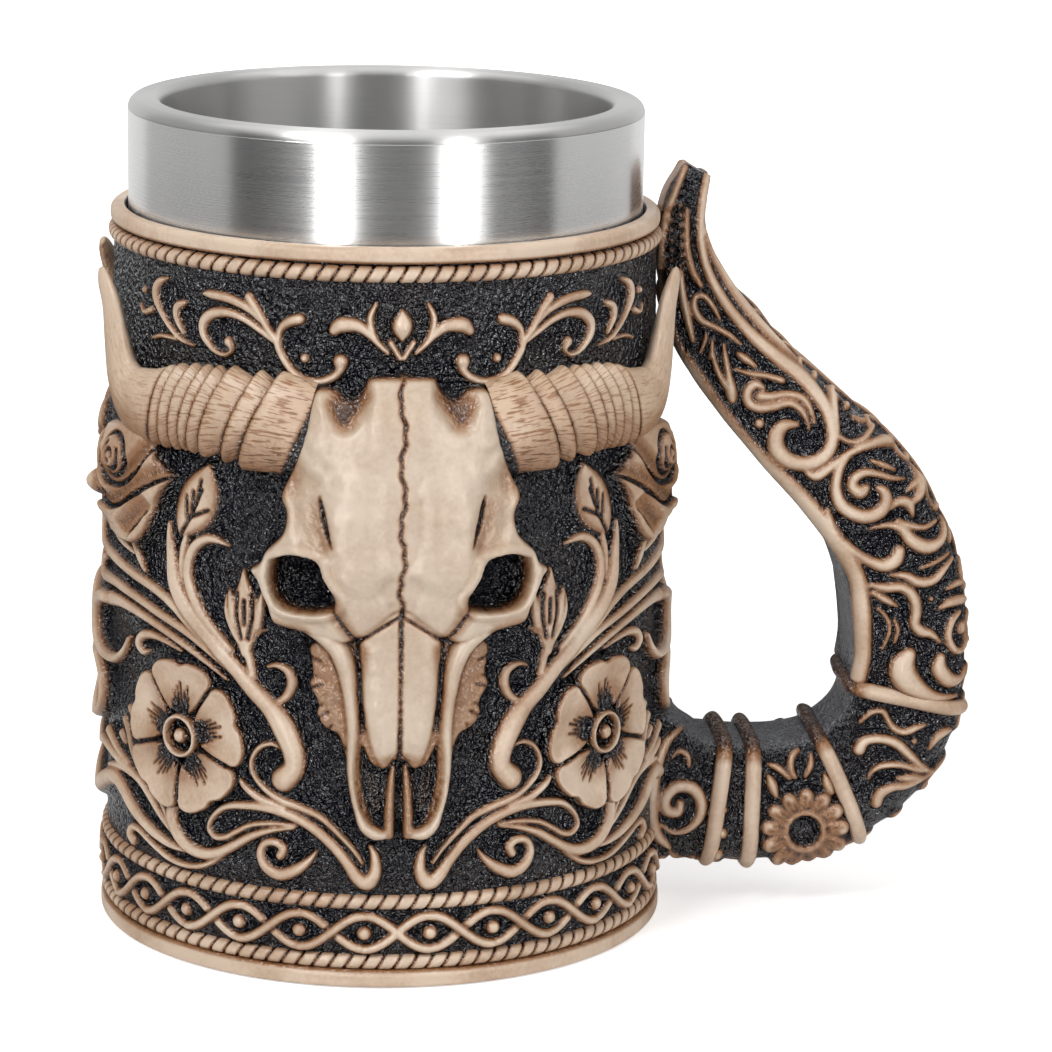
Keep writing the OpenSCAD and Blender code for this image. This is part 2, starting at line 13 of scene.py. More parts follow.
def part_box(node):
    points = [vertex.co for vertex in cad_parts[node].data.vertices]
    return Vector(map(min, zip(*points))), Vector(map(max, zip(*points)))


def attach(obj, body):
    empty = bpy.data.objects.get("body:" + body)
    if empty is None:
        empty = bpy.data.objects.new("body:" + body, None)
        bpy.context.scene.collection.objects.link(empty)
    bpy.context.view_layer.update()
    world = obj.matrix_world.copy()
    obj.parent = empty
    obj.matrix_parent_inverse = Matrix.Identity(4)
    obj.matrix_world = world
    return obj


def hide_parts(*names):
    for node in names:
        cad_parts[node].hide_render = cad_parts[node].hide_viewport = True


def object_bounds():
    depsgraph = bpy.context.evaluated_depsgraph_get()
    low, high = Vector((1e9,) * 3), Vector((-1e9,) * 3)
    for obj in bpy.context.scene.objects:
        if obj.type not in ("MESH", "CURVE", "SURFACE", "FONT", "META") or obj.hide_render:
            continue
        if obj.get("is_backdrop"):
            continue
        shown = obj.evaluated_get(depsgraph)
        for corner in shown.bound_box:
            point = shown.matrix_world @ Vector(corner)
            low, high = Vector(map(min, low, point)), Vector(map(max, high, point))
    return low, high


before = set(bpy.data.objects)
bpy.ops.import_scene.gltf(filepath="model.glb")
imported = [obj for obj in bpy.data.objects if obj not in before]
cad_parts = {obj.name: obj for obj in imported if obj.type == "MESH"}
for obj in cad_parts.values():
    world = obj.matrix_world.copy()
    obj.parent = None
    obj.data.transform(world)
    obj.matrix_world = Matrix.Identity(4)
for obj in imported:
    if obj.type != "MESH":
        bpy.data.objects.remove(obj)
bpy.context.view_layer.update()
scene = bpy.context.scene

MM = 0.001
FULL_TURN = 2 * math.pi

# Sizes of the solids, in millimetres
GROUND_FOOT_R = 48.2
GROUND_TOP_R = 46.4
PANEL_LOW_Z = 16.0
PANEL_HIGH_Z = 118.5
PANEL_SUNK = 0.7
FOOT_R = 49.4
FOOT_H = 3.0
RIM_BEAD_R = 47.0
RIM_BEAD_H = 2.7
ROPE_R = 1.3
ROPE_PROUD = 0.91
FLOOR_T = 6.0
POCKET_R = 44.35
GLUE_GAP = 0.15
SUPPORT = 0.12
BARREL_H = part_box("barrel")[1].z / MM
LINER_LOW, LINER_HIGH = (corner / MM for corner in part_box("liner_shell"))
LIP_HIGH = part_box("liner_cup")[1].z / MM
HALF_TURN = math.pi * GROUND_FOOT_R

# Fields and smooth curves


def smooth_path(points, step):
    """Points about a step apart on a smooth curve through the given ones, whatever else they carry."""
    points = np.array(points, float)
    last = len(points) - 1
    path = []
    for i in range(last):
        a, b, c, d = (points[min(max(k, 0), last)] for k in (i - 1, i, i + 1, i + 2))
        count = max(2, int(np.linalg.norm((c - b)[:2]) / step) + 1)
        t = (np.arange(count) / count)[:, None]
        path.append(b + t / 2 * ((c - a) + t * ((2 * a - 5 * b + 4 * c - d) + t * (3 * (b - c) + d - a))))
    path.append(points[-1:])
    return np.concatenate(path)


def lengths(path):
    """How far along a path each of its points lies."""
    return np.concatenate([[0], np.cumsum(np.linalg.norm(np.diff(path, axis=0), axis=1))])


def unit(vectors):
    return vectors / np.maximum(np.linalg.norm(vectors, axis=-1, keepdims=True), 1e-9)


def round_turn(count, closing=0):
    """Angles evenly round a circle, and the first again where it closes."""
    return FULL_TURN * np.arange(count + closing) / count


def polar(middle, r, angle):
    return middle[0] + r * math.cos(angle), middle[1] + r * math.sin(angle)


def spot(u, v, radius):
    """Stroke points of a round form."""
    return (u, v, radius), (u + 0.01, v, radius)


def eased(share):
    """A smooth step from 0 to 1 as the share goes from 0 to 1."""
    share = np.clip(share, 0, 1)
    return share * share * (3 - 2 * share)


def faded(value, start, length):
    """A smooth step from 0 to 1 over a length from a start."""
    return eased((value - start) / length)


def blurred(field, passes):
    """The field smoothed with its neighbours, by turns along one axis and the other."""
    for _ in range(2 * passes):
        wide = np.pad(field, ((1, 1), (0, 0)), mode="edge")
        field = ((wide[:-2] + 2 * wide[1:-1] + wide[2:]) / 4).T
    return field


def pebbles(shape, seed, passes, size):
    """Smooth seeded noise of about the given size, from -1 to 1."""
    field = blurred(np.random.default_rng(seed).uniform(-1, 1, shape), passes)
    return size * field / np.abs(field).max()


# A stroke's paint: how much of its edge stays black and how soon it is full, then painted shade on its
# flanks and painted light along its middle line
EDGE_WASH = (0.03, 0.7)
FLANK_PAINTED_SHADE = 0.80
CREST_PAINTED_LIGHT = 0.20
# Brown that runs out a little over the black round each form
STAIN_TONE = 0.12
STAIN_GAIN = 2.2
STAIN_PASSES = 6


class Relief:
    """Height and paint over a flat field of points, with what is carved on it."""

    def __init__(self, low, high, step):
        self.low = low
        self.step = step
        self.us = np.arange(low[0], high[0] + step / 2, step)
        self.vs = np.arange(low[1], high[1] + step / 2, step)
        self.height = np.zeros((len(self.vs), len(self.us)))
        self.paint = np.zeros_like(self.height)

    def near(self, u, v, reach):
        """The window of the field within reach of a point, and the squared distances there."""
        spans = []
        for middle, low, places in ((v, self.low[1], self.vs), (u, self.low[0], self.us)):
            first = max(0, math.ceil((middle - reach - low) / self.step))
            last = min(len(places), math.floor((middle + reach - low) / self.step) + 1)
            spans.append(slice(first, max(first, last)))
        rows, cols = spans
        return (rows, cols), (self.us[cols] - u) ** 2 + (self.vs[rows, None] - v) ** 2

    def spread(self, points, wider=1.0):
        """How far inside a stroke each point lies: 1 on its middle line, 0 on its edge and outside."""
        inside = np.zeros_like(self.height)
        swell = np.zeros_like(self.height)
        for u, v, half in smooth_path(points, self.step):
            half = half * wider
            window, squared = self.near(u, v, half)
            share = np.clip(1 - squared / half ** 2, 0, None)
            better = share > inside[window]
            inside[window] = np.where(better, share, inside[window])
            swell[window] = np.where(better, half, swell[window])
        return inside, swell

    def lay(self, rise, paint):
        """Lays a form over what is there, where it stands higher."""
        better = rise > self.height
        self.height = np.where(better, rise, self.height)
        self.paint = np.where(better, paint, self.paint)

    def stroke(self, points, lift=0.7, slope=0.75, power=0.65, tone=1.0, wider=1.0):
        """A rounded stroke through (u, v, half width) points, higher where it is wider."""
        inside, half = self.spread(points, wider)
        rise = np.where(inside > 0, (lift + slope * half) * inside ** power, 0)
        # Painted light along the middle line and painted shade down the flanks
        full = FLANK_PAINTED_SHADE + CREST_PAINTED_LIGHT * inside
        self.lay(rise, tone * faded(inside, *EDGE_WASH) * full)

    def strokes(self, table, **form):
        for points in table:
            self.stroke(points, **form)

    def dot(self, u, v, radius, **form):
        self.stroke(spot(u, v, radius), **form)

    def depth_in(self, outline):
        """Distance inside a smooth closed outline, and 0 outside it."""
        path = smooth_path(list(outline) + [outline[0]], 3 * self.step)
        u, v = np.meshgrid(self.us, self.vs)
        depth = np.full(u.shape, np.inf)
        crossings = np.zeros(u.shape, int)
        for (au, av), (bu, bv) in zip(path[:-1], path[1:]):
            span = max((bu - au) ** 2 + (bv - av) ** 2, 1e-12)
            t = np.clip(((u - au) * (bu - au) + (v - av) * (bv - av)) / span, 0, 1)
            depth = np.minimum(depth, (u - au - t * (bu - au)) ** 2 + (v - av - t * (bv - av)) ** 2)
            if av != bv:
                crossings += ((av > v) != (bv > v)) & (u < au + (v - av) / (bv - av) * (bu - au))
        return np.where(crossings % 2 == 1, np.sqrt(depth), 0)

    def plate(self, outline, height, dome, edge, reach, tone=1.0):
        """A plate with a rounded edge that goes on rising gently to its middle."""
        depth = self.depth_in(outline)
        rounded, risen = (1 - (1 - np.clip(depth / far, 0, 1)) ** 2 for far in (edge, reach))
        rise = height * np.sqrt(rounded) + dome * risen
        self.lay(np.where(depth > 0, rise, 0), tone * eased(depth / edge * 1.4))

    def tint(self, share, tone):
        self.paint = self.paint * (1 - share) + tone * share

    def sink(self, outline, floor, wall, tone=0.0):
        """A hollow with a steep wall, down to a floor."""
        share = eased(self.depth_in(outline) / wall)
        self.height = self.height * (1 - share) + np.minimum(self.height, floor) * share
        self.tint(share, tone)

    def swell(self, points, amount, shade=0.0):
        """A soft ridge, or a soft hollow where the amount is negative, with painted shade darkest along
        its middle.
        """
        inside, _ = self.spread(points)
        self.height = self.height + amount * eased(inside)
        # Painted shade, darkest on the middle line
        self.paint = self.paint * (1 - shade * inside ** 2)

    def cut(self, points, depth, tone=0.0):
        """An engraved line that holds dark wash."""
        share = eased(self.spread(points)[0] * 1.3)
        self.height = self.height - depth * share
        self.tint(share, tone)

    def wash(self, strength, passes):
        """Wash that gathers in the hollows, and a soft casting."""
        hollow = blurred(self.height, passes) - self.height
        self.paint = np.clip(self.paint - strength * np.clip(hollow, 0, 1), 0, 1)
        self.height = blurred(self.height, 1)
        self.paint = blurred(self.paint, 1)

    def stain(self):
        spilt = np.clip(STAIN_GAIN * blurred(self.paint, STAIN_PASSES), 0, 1)
        self.paint = np.maximum(self.paint, STAIN_TONE * spilt)

    def laid(self, side):
        """Places, height and paint of the field: as carved on side 1, and mirrored on side -1."""
        us, height, paint = self.us, self.height, self.paint
        if side < 0:
            us, height, paint = -us[::-1], height[:, ::-1], paint[:, ::-1]
        return *np.meshgrid(us, self.vs), height, paint


# Meshes

FLIPPED = [0, 3, 2, 1]
SIDES = ((1, "right", "left"), (-1, "left", "right"))


def settle(name, mesh, body, replaces, turn=0.0):
    """An object of the tankard, riding on a body in place of the solids that it replaces."""
    obj = bpy.data.objects.new(name, mesh)
    obj.rotation_euler.z = turn
    scene.collection.objects.link(obj)
    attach(obj, body)
    if replaces:
        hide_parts(*replaces)
    return obj


def make_piece(name, points, faces, material, slot, body="tankard", replaces=(), normals=None, **values):
    """A smooth mesh piece from points in millimetres and arrays of faces, with values at the points."""
    corners = np.concatenate([f.ravel() for f in faces])
    sizes = np.concatenate([np.full(len(f), f.shape[1]) for f in faces])
    used, corners = np.unique(corners, return_inverse=True)
    mesh = bpy.data.meshes.new(name)
    mesh.vertices.add(len(used))
    mesh.vertices.foreach_set("co", (points.reshape(-1, 3)[used] * MM).astype(np.float32).ravel())
    mesh.loops.add(len(corners))
    mesh.loops.foreach_set("vertex_index", corners.astype(np.int32))
    mesh.polygons.add(len(sizes))
    mesh.polygons.foreach_set("loop_start", (np.cumsum(sizes) - sizes).astype(np.int32))
    mesh.polygons.foreach_set("use_smooth", np.ones(len(sizes), bool))
    for key, field in values.items():
        layer = mesh.attributes.new(key, "FLOAT", "POINT")
        layer.data.foreach_set("value", np.asarray(field, np.float32).ravel()[used])
    mesh.update(calc_edges=True)
    if normals is not None:
        mesh.normals_split_custom_set_from_vertices(normals.reshape(-1, 3)[used])
    mesh.materials.append(material)
    return settle(name, mesh, body, replaces)


def turned_copy(obj, name, replaces=()):
    """The same piece half a turn round the barrel."""
    return settle(name, obj.data, "tankard", replaces, math.pi)


def all_round(make, piece, slot, node, *form):
    """A piece on both sides of the front skull, and both again on the back, where they change sides."""
    for side, here, opposite in SIDES:
        front, back = f"front_{here}", f"back_{opposite}"
        made = make(f"{piece}_{front}", side, (f"{node}_{front}",) if node else (), *form)
        turned_copy(made, f"{piece}_{back}", (f"{node}_{back}",) if node else ())


def numbered(rows, cols):
    return np.arange(rows * cols).reshape(rows, cols)


def grid_quads(index, closed=()):
    """Quads over a grid of point numbers, which closes on itself along some of its axes."""
    for axis in closed:
        index = np.concatenate([index, index.take([0], axis)], axis)
    return np.stack([index[:-1, :-1], index[:-1, 1:], index[1:, 1:], index[1:, :-1]], -1).reshape(-1, 4)


def slab_faces(cells):
    """Quads of a closed slab over the chosen cells of a grid: its face, its underside and its walls."""
    rows, cols = cells.shape
    index = numbered(rows + 1, cols + 1)
    below = index.size
    face = grid_quads(index)[cells.ravel()]
    quads = [face, face[:, ::-1] + below]
    ringed = np.pad(cells, 1)
    corners = ((0, 0), (0, 1), (1, 1), (1, 0))
    for k, (dr, dc) in enumerate(((-1, 0), (0, 1), (1, 0), (0, -1))):
        r, c = np.nonzero(cells & ~ringed[1 + dr:1 + dr + rows, 1 + dc:1 + dc + cols])
        p, q = (index[r + row, c + col] for row, col in (corners[k], corners[(k + 1) % 4]))
        quads.append(np.stack([q, p, p + below, q + below], 1))
    return quads


def ground_r(z):
    share = np.clip((z - PANEL_LOW_Z) / (PANEL_HIGH_Z - PANEL_LOW_Z), 0, 1)
    return GROUND_FOOT_R + (GROUND_TOP_R - GROUND_FOOT_R) * share


def on_barrel(u, z, h):
    """Points at u round the barrel from the front's middle, at height z and h above the ground."""
    r = ground_r(z) + h
    angle = u / GROUND_FOOT_R
    return np.stack(np.broadcast_arrays(r * np.sin(angle), -r * np.cos(angle), z), -1)


def grid_normals(points):
    """Normals of a grid of points, as if it went on mirrored past its first and last columns."""
    along = np.gradient(points, axis=1)
    for edge in (0, -1):
        outward = unit(points[:, edge] * np.array([1, 1, 0]))
        along[:, edge] = np.stack([-outward[:, 1], outward[:, 0], np.zeros(len(outward))], 1)
    return unit(np.cross(along, np.gradient(points, axis=0)))


def doubled(half):
    """A half relief from its middle line outwards, with its mirror image."""
    reach = half.us[-1]
    relief = Relief((-reach, half.low[1]), (reach, half.vs[-1]), half.step)
    fields = (np.concatenate([field[:, :0:-1], field], 1) for field in (half.height, half.paint))
    relief.height, relief.paint = fields
    return relief


STANDING = 0.02
RIM_SUNK = 0.5


def relief_piece(name, side, replaces, relief, material):
    """A carved piece on the barrel: it stands where its relief does, with its rim sunk in the ground."""
    u, z, height, paint = relief.laid(side)
    standing = height > STANDING
    cells = standing[1:, 1:] | standing[1:, :-1] | standing[:-1, 1:] | standing[:-1, :-1]
    points = np.concatenate([on_barrel(u, z, np.where(standing, height, -RIM_SUNK)),
                             on_barrel(u, z, -2 * RIM_SUNK)])
    return make_piece(name, points, slab_faces(cells), material, "bone_resin", replaces=replaces,
                      paint=np.concatenate([paint, paint]))


def lathe(name, profile, material, slot, body, replaces, segments=256, **values):
    """A solid of revolution round Z from a closed profile of (radius, height) points."""
    r, z = np.array(profile, float).T
    angles = round_turn(segments)[:, None]
    points = np.stack(np.broadcast_arrays(r * np.cos(angles), r * np.sin(angles), z), -1)
    index = numbered(segments, len(r))
    on_axis = r == 0
    next_on_axis = np.roll(on_axis, -1)
    index[:, on_axis] = index[0, on_axis]
    quads = grid_quads(index, (0, 1))[:, FLIPPED].reshape(segments, -1, 4)
    faces = [quads[:, ~on_axis & ~next_on_axis].reshape(-1, 4),
             quads[:, on_axis & ~next_on_axis][..., [0, 2, 3]].reshape(-1, 3),
             quads[:, ~on_axis & next_on_axis][..., [0, 1, 2]].reshape(-1, 3)]
    faces = [face for face in faces if len(face)]
    values = {key: np.tile(field, segments) for key, field in values.items()}
    return make_piece(name, points, faces, material, slot, body, replaces, **values)


def supported(profile):
    """The same closed profile, with points near the ends of its long stretches to keep them flat."""
    out = []
    for a, b in zip(profile, np.roll(profile, -1, 0)):
        out.append(a)
        length = np.linalg.norm(b - a)
        if length > 4 * SUPPORT:
            inset = (b - a) * SUPPORT / length
            out += [a + inset, b - inset]
    return np.array(out)


def rounded_profile(corners, steps=6):
    """A closed profile with each (radius, height, rounding) corner turned into an arc."""
    points = np.array([c[:2] for c in corners], float)
    out = []
    for i, (corner, radius) in enumerate(zip(points, (c[2] for c in corners))):
        if radius == 0:
            out.append(corner)
            continue
        back, ahead = (beside - corner for beside in (points[i - 1], points[(i + 1) % len(points)]))
        back, ahead = back / np.linalg.norm(back), ahead / np.linalg.norm(ahead)
        half = math.acos(np.clip(back @ ahead, -1, 1)) / 2
        middle = corner + (back + ahead) / np.linalg.norm(back + ahead) * radius / math.sin(half)
        first, second = (corner + way * radius / math.tan(half) - middle for way in (back, ahead))
        whole = math.acos(np.clip(first @ second / radius ** 2, -1, 1))
        for k in range(steps + 1):
            t = k / steps
            arm = math.sin((1 - t) * whole) * first + math.sin(t * whole) * second
            out.append(middle + arm / math.sin(whole))
    return supported(out)


# Materials


class Shader:
    """The nodes of a material or a world, built by short calls.

    In the names of sockets, underscores stand for spaces.
    """

    def __init__(self, owner, surface="Principled BSDF"):
        owner.use_nodes = True
        self.owner = owner
        self.tree = owner.node_tree
        self.surface = self.tree.nodes[surface]

    def plug(self, socket, value):
        """Links another socket to this one, or sets it to a value."""
        if isinstance(value, bpy.types.NodeSocket):
            self.tree.links.new(value, socket)
        else:
            socket.default_value = value

    def add(self, kind, **values):
        """A node with its settings and inputs."""
        made = self.tree.nodes.new("ShaderNode" + kind)
        for key, value in values.items():
            socket = key.replace("_", " ")
            if socket in made.inputs:
                self.plug(made.inputs[socket], value)
            else:
                setattr(made, key, value)
        return made

    def attribute(self, name):
        return self.add("Attribute", attribute_name=name).outputs["Fac"]

    def place(self):
        return self.add("TexCoord").outputs["Object"]

    def stretched(self, where, scale):
        return self.add("Mapping", Vector=where, Scale=scale).outputs["Vector"]

    def noise(self, where, scale, detail):
        return self.add("TexNoise", Vector=where, Scale=scale, Detail=detail).outputs["Fac"]

    def math(self, operation, first, second):
        made = self.add("Math", operation=operation)
        self.plug(made.inputs[0], first)
        self.plug(made.inputs[1], second)
        return made.outputs["Value"]

    def around(self, noise, amount):
        """Noise turned into a change about zero."""
        return self.math("MULTIPLY", self.math("SUBTRACT", noise, 0.5), amount)

    def ramp(self, share, stops):
        made = self.add("ValToRGB", Fac=share)
        ends = made.color_ramp.elements
        while len(ends) < len(stops):
            ends.new(0.5)
        for element, (position, colour) in zip(ends, stops):
            element.position = position
            element.color = (*colour, 1)
        return made.outputs["Color"]

    def between(self, share, low, high, **span):
        return self.add("MapRange", Value=share, To_Min=low, To_Max=high, **span).outputs["Result"]

    def bump(self, height, strength, distance, **before):
        made = self.add("Bump", Height=height, Strength=strength, Distance=distance, **before)
        return made.outputs["Normal"]

    def finish(self, **inputs):
        for key, value in inputs.items():
            self.plug(self.surface.inputs[key.replace("_", " ")], value)
        return self.owner


GROUND_BLACK = (0.004, 0.0045, 0.009)
WASH_STOPS = ((0, GROUND_BLACK), (0.1, (0.014, 0.008, 0.006)), (0.28, (0.08, 0.03, 0.012)),
              (0.5, (0.31, 0.145, 0.06)))
BONE_STOPS = ((0.72, (0.38, 0.215, 0.122)), (0.88, (0.565, 0.4, 0.278)), (1, (0.72, 0.565, 0.43)))
SKULL_STOPS = ((0.72, (0.45, 0.295, 0.19)), (0.88, (0.57, 0.43, 0.313)), (1, (0.68, 0.55, 0.43)))
HORN_STOPS = ((0.72, (0.43, 0.26, 0.158)), (0.88, (0.59, 0.415, 0.28)), (1, (0.7, 0.54, 0.405)))
GREY_STOPS = ((0.3, (0.065, 0.067, 0.077)), (0.75, (0.16, 0.165, 0.185)))
# Noises of the resin, as scale and detail
MOTTLE = (75, 5)
GRAIN = (1300, 3)
PEBBLE = (1250, 1)
CASTING = (700, 3)
GREY_MOTTLE = (420, 4)
PAINT_DROP = 0.05
GRAIN_CHANGE = 0.16
GROUND_CHANGE = 0.55
PEBBLE_DEEP = 0.0022
CASTING_STRENGTH, CASTING_DEEP = 0.16, 0.0003
# From the ground to full paint
ROUGHNESS = (0.1, 0.42)
SHINE = (0.78, 0.5)
BARE_ROUGHER = 0.25
# Dashes along the horns, which fade over a run from the root
DASH_STRETCH = (320, 1900, 1)
DASH_STOPS = ((0.38, (0, 0, 0)), (0.48, (1, 1, 1)))
DASH_DARK = (0.46, 0.12)
DASH_RUN = 0.034


def painted_resin(name, crown_stops, change=0.6, plain=False, streaks=False):
    """Cast resin in bone colours over brown wash and a pebbled gloss black ground, led by the paint."""
    s = Shader(bpy.data.materials.new(name))
    where = s.place()
    paint = s.attribute("paint")
    tone = s.math("ADD", s.math("SUBTRACT", paint, PAINT_DROP), s.around(s.noise(where, *MOTTLE), change))
    tone = s.math("ADD", tone, s.around(s.noise(where, *GRAIN), GRAIN_CHANGE))
    if streaks:
        along = s.attribute("along")
        flat = s.add("CombineXYZ", X=along, Y=s.attribute("around")).outputs["Vector"]
        dashes = s.ramp(s.noise(s.stretched(flat, DASH_STRETCH), 1, 2), DASH_STOPS)
        fade = s.between(along, *DASH_DARK, From_Max=DASH_RUN)
        tone = s.math("ADD", tone, s.math("MULTIPLY", s.math("SUBTRACT", dashes, 1), fade))
    # The ground keeps its black, so the changes count only where there is paint
    tone = s.math("MULTIPLY", tone, s.between(paint, GROUND_CHANGE, 1))
    colour = s.ramp(tone, WASH_STOPS + crown_stops)
    pebbled = s.bump(s.noise(where, *PEBBLE), s.between(paint, 1, 0), PEBBLE_DEEP)
    normal = s.bump(s.noise(where, *CASTING), CASTING_STRENGTH, CASTING_DEEP, Normal=pebbled)
    roughness = s.between(paint, *ROUGHNESS)
    if plain:
        bare = s.attribute("bare")
        mixed = s.add("Mix", data_type="RGBA")
        grey = s.ramp(s.noise(where, *GREY_MOTTLE), GREY_STOPS)
        # By number, because the node has sockets of the same names for plain numbers and vectors
        for socket, source in ((0, bare), (6, colour), (7, grey)):
            s.plug(mixed.inputs[socket], source)
        colour = mixed.outputs[2]
        roughness = s.math("ADD", roughness, s.math("MULTIPLY", bare, BARE_ROUGHER))
    return s.finish(Base_Color=colour, Roughness=roughness, Specular_IOR_Level=s.between(paint, *SHINE),
                    Normal=normal)


STEEL_TINT = (0.76, 0.755, 0.75)
# The cup's steel is tinted darker than the shell's: painted shade inside the liner
CUP_SHADED_TINT = (0.54, 0.535, 0.53)
# Brush lines run round the liner
BRUSH_STRETCH = (40, 40, 6500)
BRUSH_DARK = 0.92
BRUSH_DETAIL = 4
BRUSH_DEEP = (0.04, 0.00004)
STEEL_CLOUD = (60, 3)
LINE_SHARE, CLOUD_SHARE = 0.7, 0.3
SHADE_ENDS = (0.3, 0.7)
ROUGH_LINES = 0.04
ROUGH_CLOUD = 0.06


def brushed_steel(name, tint, rough, spread):
    """Steel with fine brush lines, which spread the gloss across them."""
    s = Shader(bpy.data.materials.new(name))
    where = s.place()
    lines = s.noise(s.stretched(where, BRUSH_STRETCH), 1, BRUSH_DETAIL)
    cloud = s.noise(where, *STEEL_CLOUD)
    colours = [tuple(c * level for c in tint) for level in (BRUSH_DARK, 1)]
    shade = s.math("ADD", s.math("MULTIPLY", lines, LINE_SHARE), s.math("MULTIPLY", cloud, CLOUD_SHARE))
    lined = s.between(lines, rough - ROUGH_LINES, rough + ROUGH_LINES)
    return s.finish(Base_Color=s.ramp(shade, tuple(zip(SHADE_ENDS, colours))), Metallic=1,
                    Roughness=s.math("ADD", lined, s.around(cloud, ROUGH_CLOUD)), Anisotropic=spread,
                    Anisotropic_Rotation=0.25, Normal=s.bump(lines, *BRUSH_DEEP))


carved_resin = painted_resin("carved_resin", BONE_STOPS)
skull_resin = painted_resin("skull_resin", SKULL_STOPS, change=0.36)
horn_resin = painted_resin("horn_resin", HORN_STOPS, streaks=True)
handle_resin = painted_resin("handle_resin", BONE_STOPS, plain=True)
liner_steel = brushed_steel("liner_steel", STEEL_TINT, rough=0.28, spread=0.8)
cup_steel_with_painted_shade = brushed_steel("cup_steel_with_painted_shade", CUP_SHADED_TINT, rough=0.36, spread=0.92)

# The carved panel: half of it, from the skull's middle round to the side, in u, z and half width

BRAID_Z = 9.5
BRAID_SWING = 2.9
BRAID_HALF = 1.02
BRAID_EYES = 14
BRAID_DOT_R = 1.5
BRAID_EYE = HALF_TURN / BRAID_EYES
SIDE = HALF_TURN / 2
PANEL_COLUMNS = 320
PANEL_LOW, PANEL_HIGH = 5.2, 119.0

STEM = (
    ((19, 35.3, 2), (17.2, 37.5, 1.8), (17.4, 40.5, 1.9), (19.5, 45, 2), (21.6, 47.5, 1.7),
     (24.5, 50, 1.6), (27.7, 53, 1.5), (30.8, 55.5, 1.5), (33.7, 58, 1.5), (36.6, 60.5, 1.7),
     (39.2, 63, 1.7), (41.1, 66, 1.6), (41.9, 69.5, 1.3), (42.8, 73, 0.8), (43.2, 75.5, 0.4)),
    ((29, 56, 0.6), (32, 58.5, 0.9), (34.2, 60.5, 1), (36.3, 63.2, 1.1), (37.9, 66.3, 1.1), (38.2, 69, 1),
     (37.4, 71.6, 1), (35.8, 73.4, 0.9), (33.7, 74.3, 0.8), (31.9, 74.2, 0.6), (29.8, 73.6, 0.25)),
    ((39.5, 66, 0.5), (39.6, 69, 0.8), (39.3, 72, 0.8), (38.5, 74.5, 0.6)),
    ((26.4, 56.5, 0.6), (28.4, 59.5, 0.8), (29.8, 62.5, 0.7), (30.2, 65.4, 0.2)),
    ((25.5, 56, 0.5), (24.8, 58.3, 0.6), (23.6, 59.9, 0.4), (22.5, 60.3, 0.15)),
    ((24.3, 50, 0.7), (25.2, 54, 0.8), (26, 57, 0.9)),
    ((22.4, 54, 0.25), (20.5, 54.5, 0.5), (18.4, 53.7, 0.85), (17.8, 51.6, 0.95), (19, 49.2, 0.75),
     (21.1, 48.2, 0.55), (23.2, 48.9, 0.4)),
)
LEAVES = (
    ((39.6, 74.8, 0.8), (38.3, 77, 2.6), (36.3, 79.6, 3.8), (35, 82, 3.3), (34.2, 84.3, 1.9),
     (33.7, 86.6, 0.3)),
    ((26.2, 56, 0.8), (26.2, 60, 2.2), (26.2, 63.4, 2.6), (26.4, 66.6, 1.4), (26.6, 70.2, 0.2)),
    ((28.2, 61, 1.1), (28.8, 64, 0.8), (29.4, 66.4, 0.2)),
    ((24.2, 61, 1.1), (23.5, 64.2, 0.8), (23.1, 66.8, 0.2)),
)
LEAF_VEINS = (
    ((39.5, 74.5), (37, 78), (34.8, 82.5)), ((38, 77.2), (38.2, 81)), ((37, 78.4), (36.6, 82)),
    ((36, 80), (35, 84)), ((37.2, 77.6), (34, 79), (33.5, 79.2)),
    ((26.8, 58.5), (27.7, 62.5), (27.6, 66)), ((25.6, 58.5), (24.8, 62.5), (25, 66)),
    ((26.2, 61), (26.3, 65)),
)
STRANDS = (
    ((66.5, 70.5, 0.6), (69.5, 71.2, 0.9), (72, 69.5, 1.1), (71.5, 66.8, 1.2), (68, 65.9, 1.2),
     (62, 65.6, 1.2), (54.5, 64.7, 1.1), (47, 63.6, 1.1), (42, 61.8, 1.1), (38, 59.2, 1), (33, 56, 0.8),
     (29, 53, 0.5)),
    ((71, 63.5, 0.6), (73.5, 62.8, 0.9), (74, 60.8, 1.1), (71, 60.3, 1.2), (66, 61, 1.2), (60, 61.3, 1.1),
     (52, 60.7, 1), (45, 59.4, 1), (38.5, 57.6, 0.9), (33, 54.8, 0.7), (28.5, 51.8, 0.4)),
    ((30, 50.8, 0.3), (34, 53.1, 0.6), (39, 55.3, 0.8), (44.5, 57, 0.9), (51, 58.2, 1), (58, 58.6, 1.2),
     (64.5, 57.9, 1.5), (69, 57.2, 1.7), (72.8, 55, 1.8), (73.6, 52, 1.8), (71.3, 49.3, 1.7),
     (66.5, 48, 1.5), (61, 48.2, 1.3), (57.5, 49.4, 1.1), (55.2, 51.4, 0.8), (54.4, 53.4, 0.45)),
    ((48.6, 52.2, 0.35), (50.3, 51.8, 0.8), (51.6, 53.1, 1.05), (50.4, 54.6, 1), (47.4, 55.3, 0.85),
     (43.7, 55, 0.65), (40, 54, 0.35)),
)
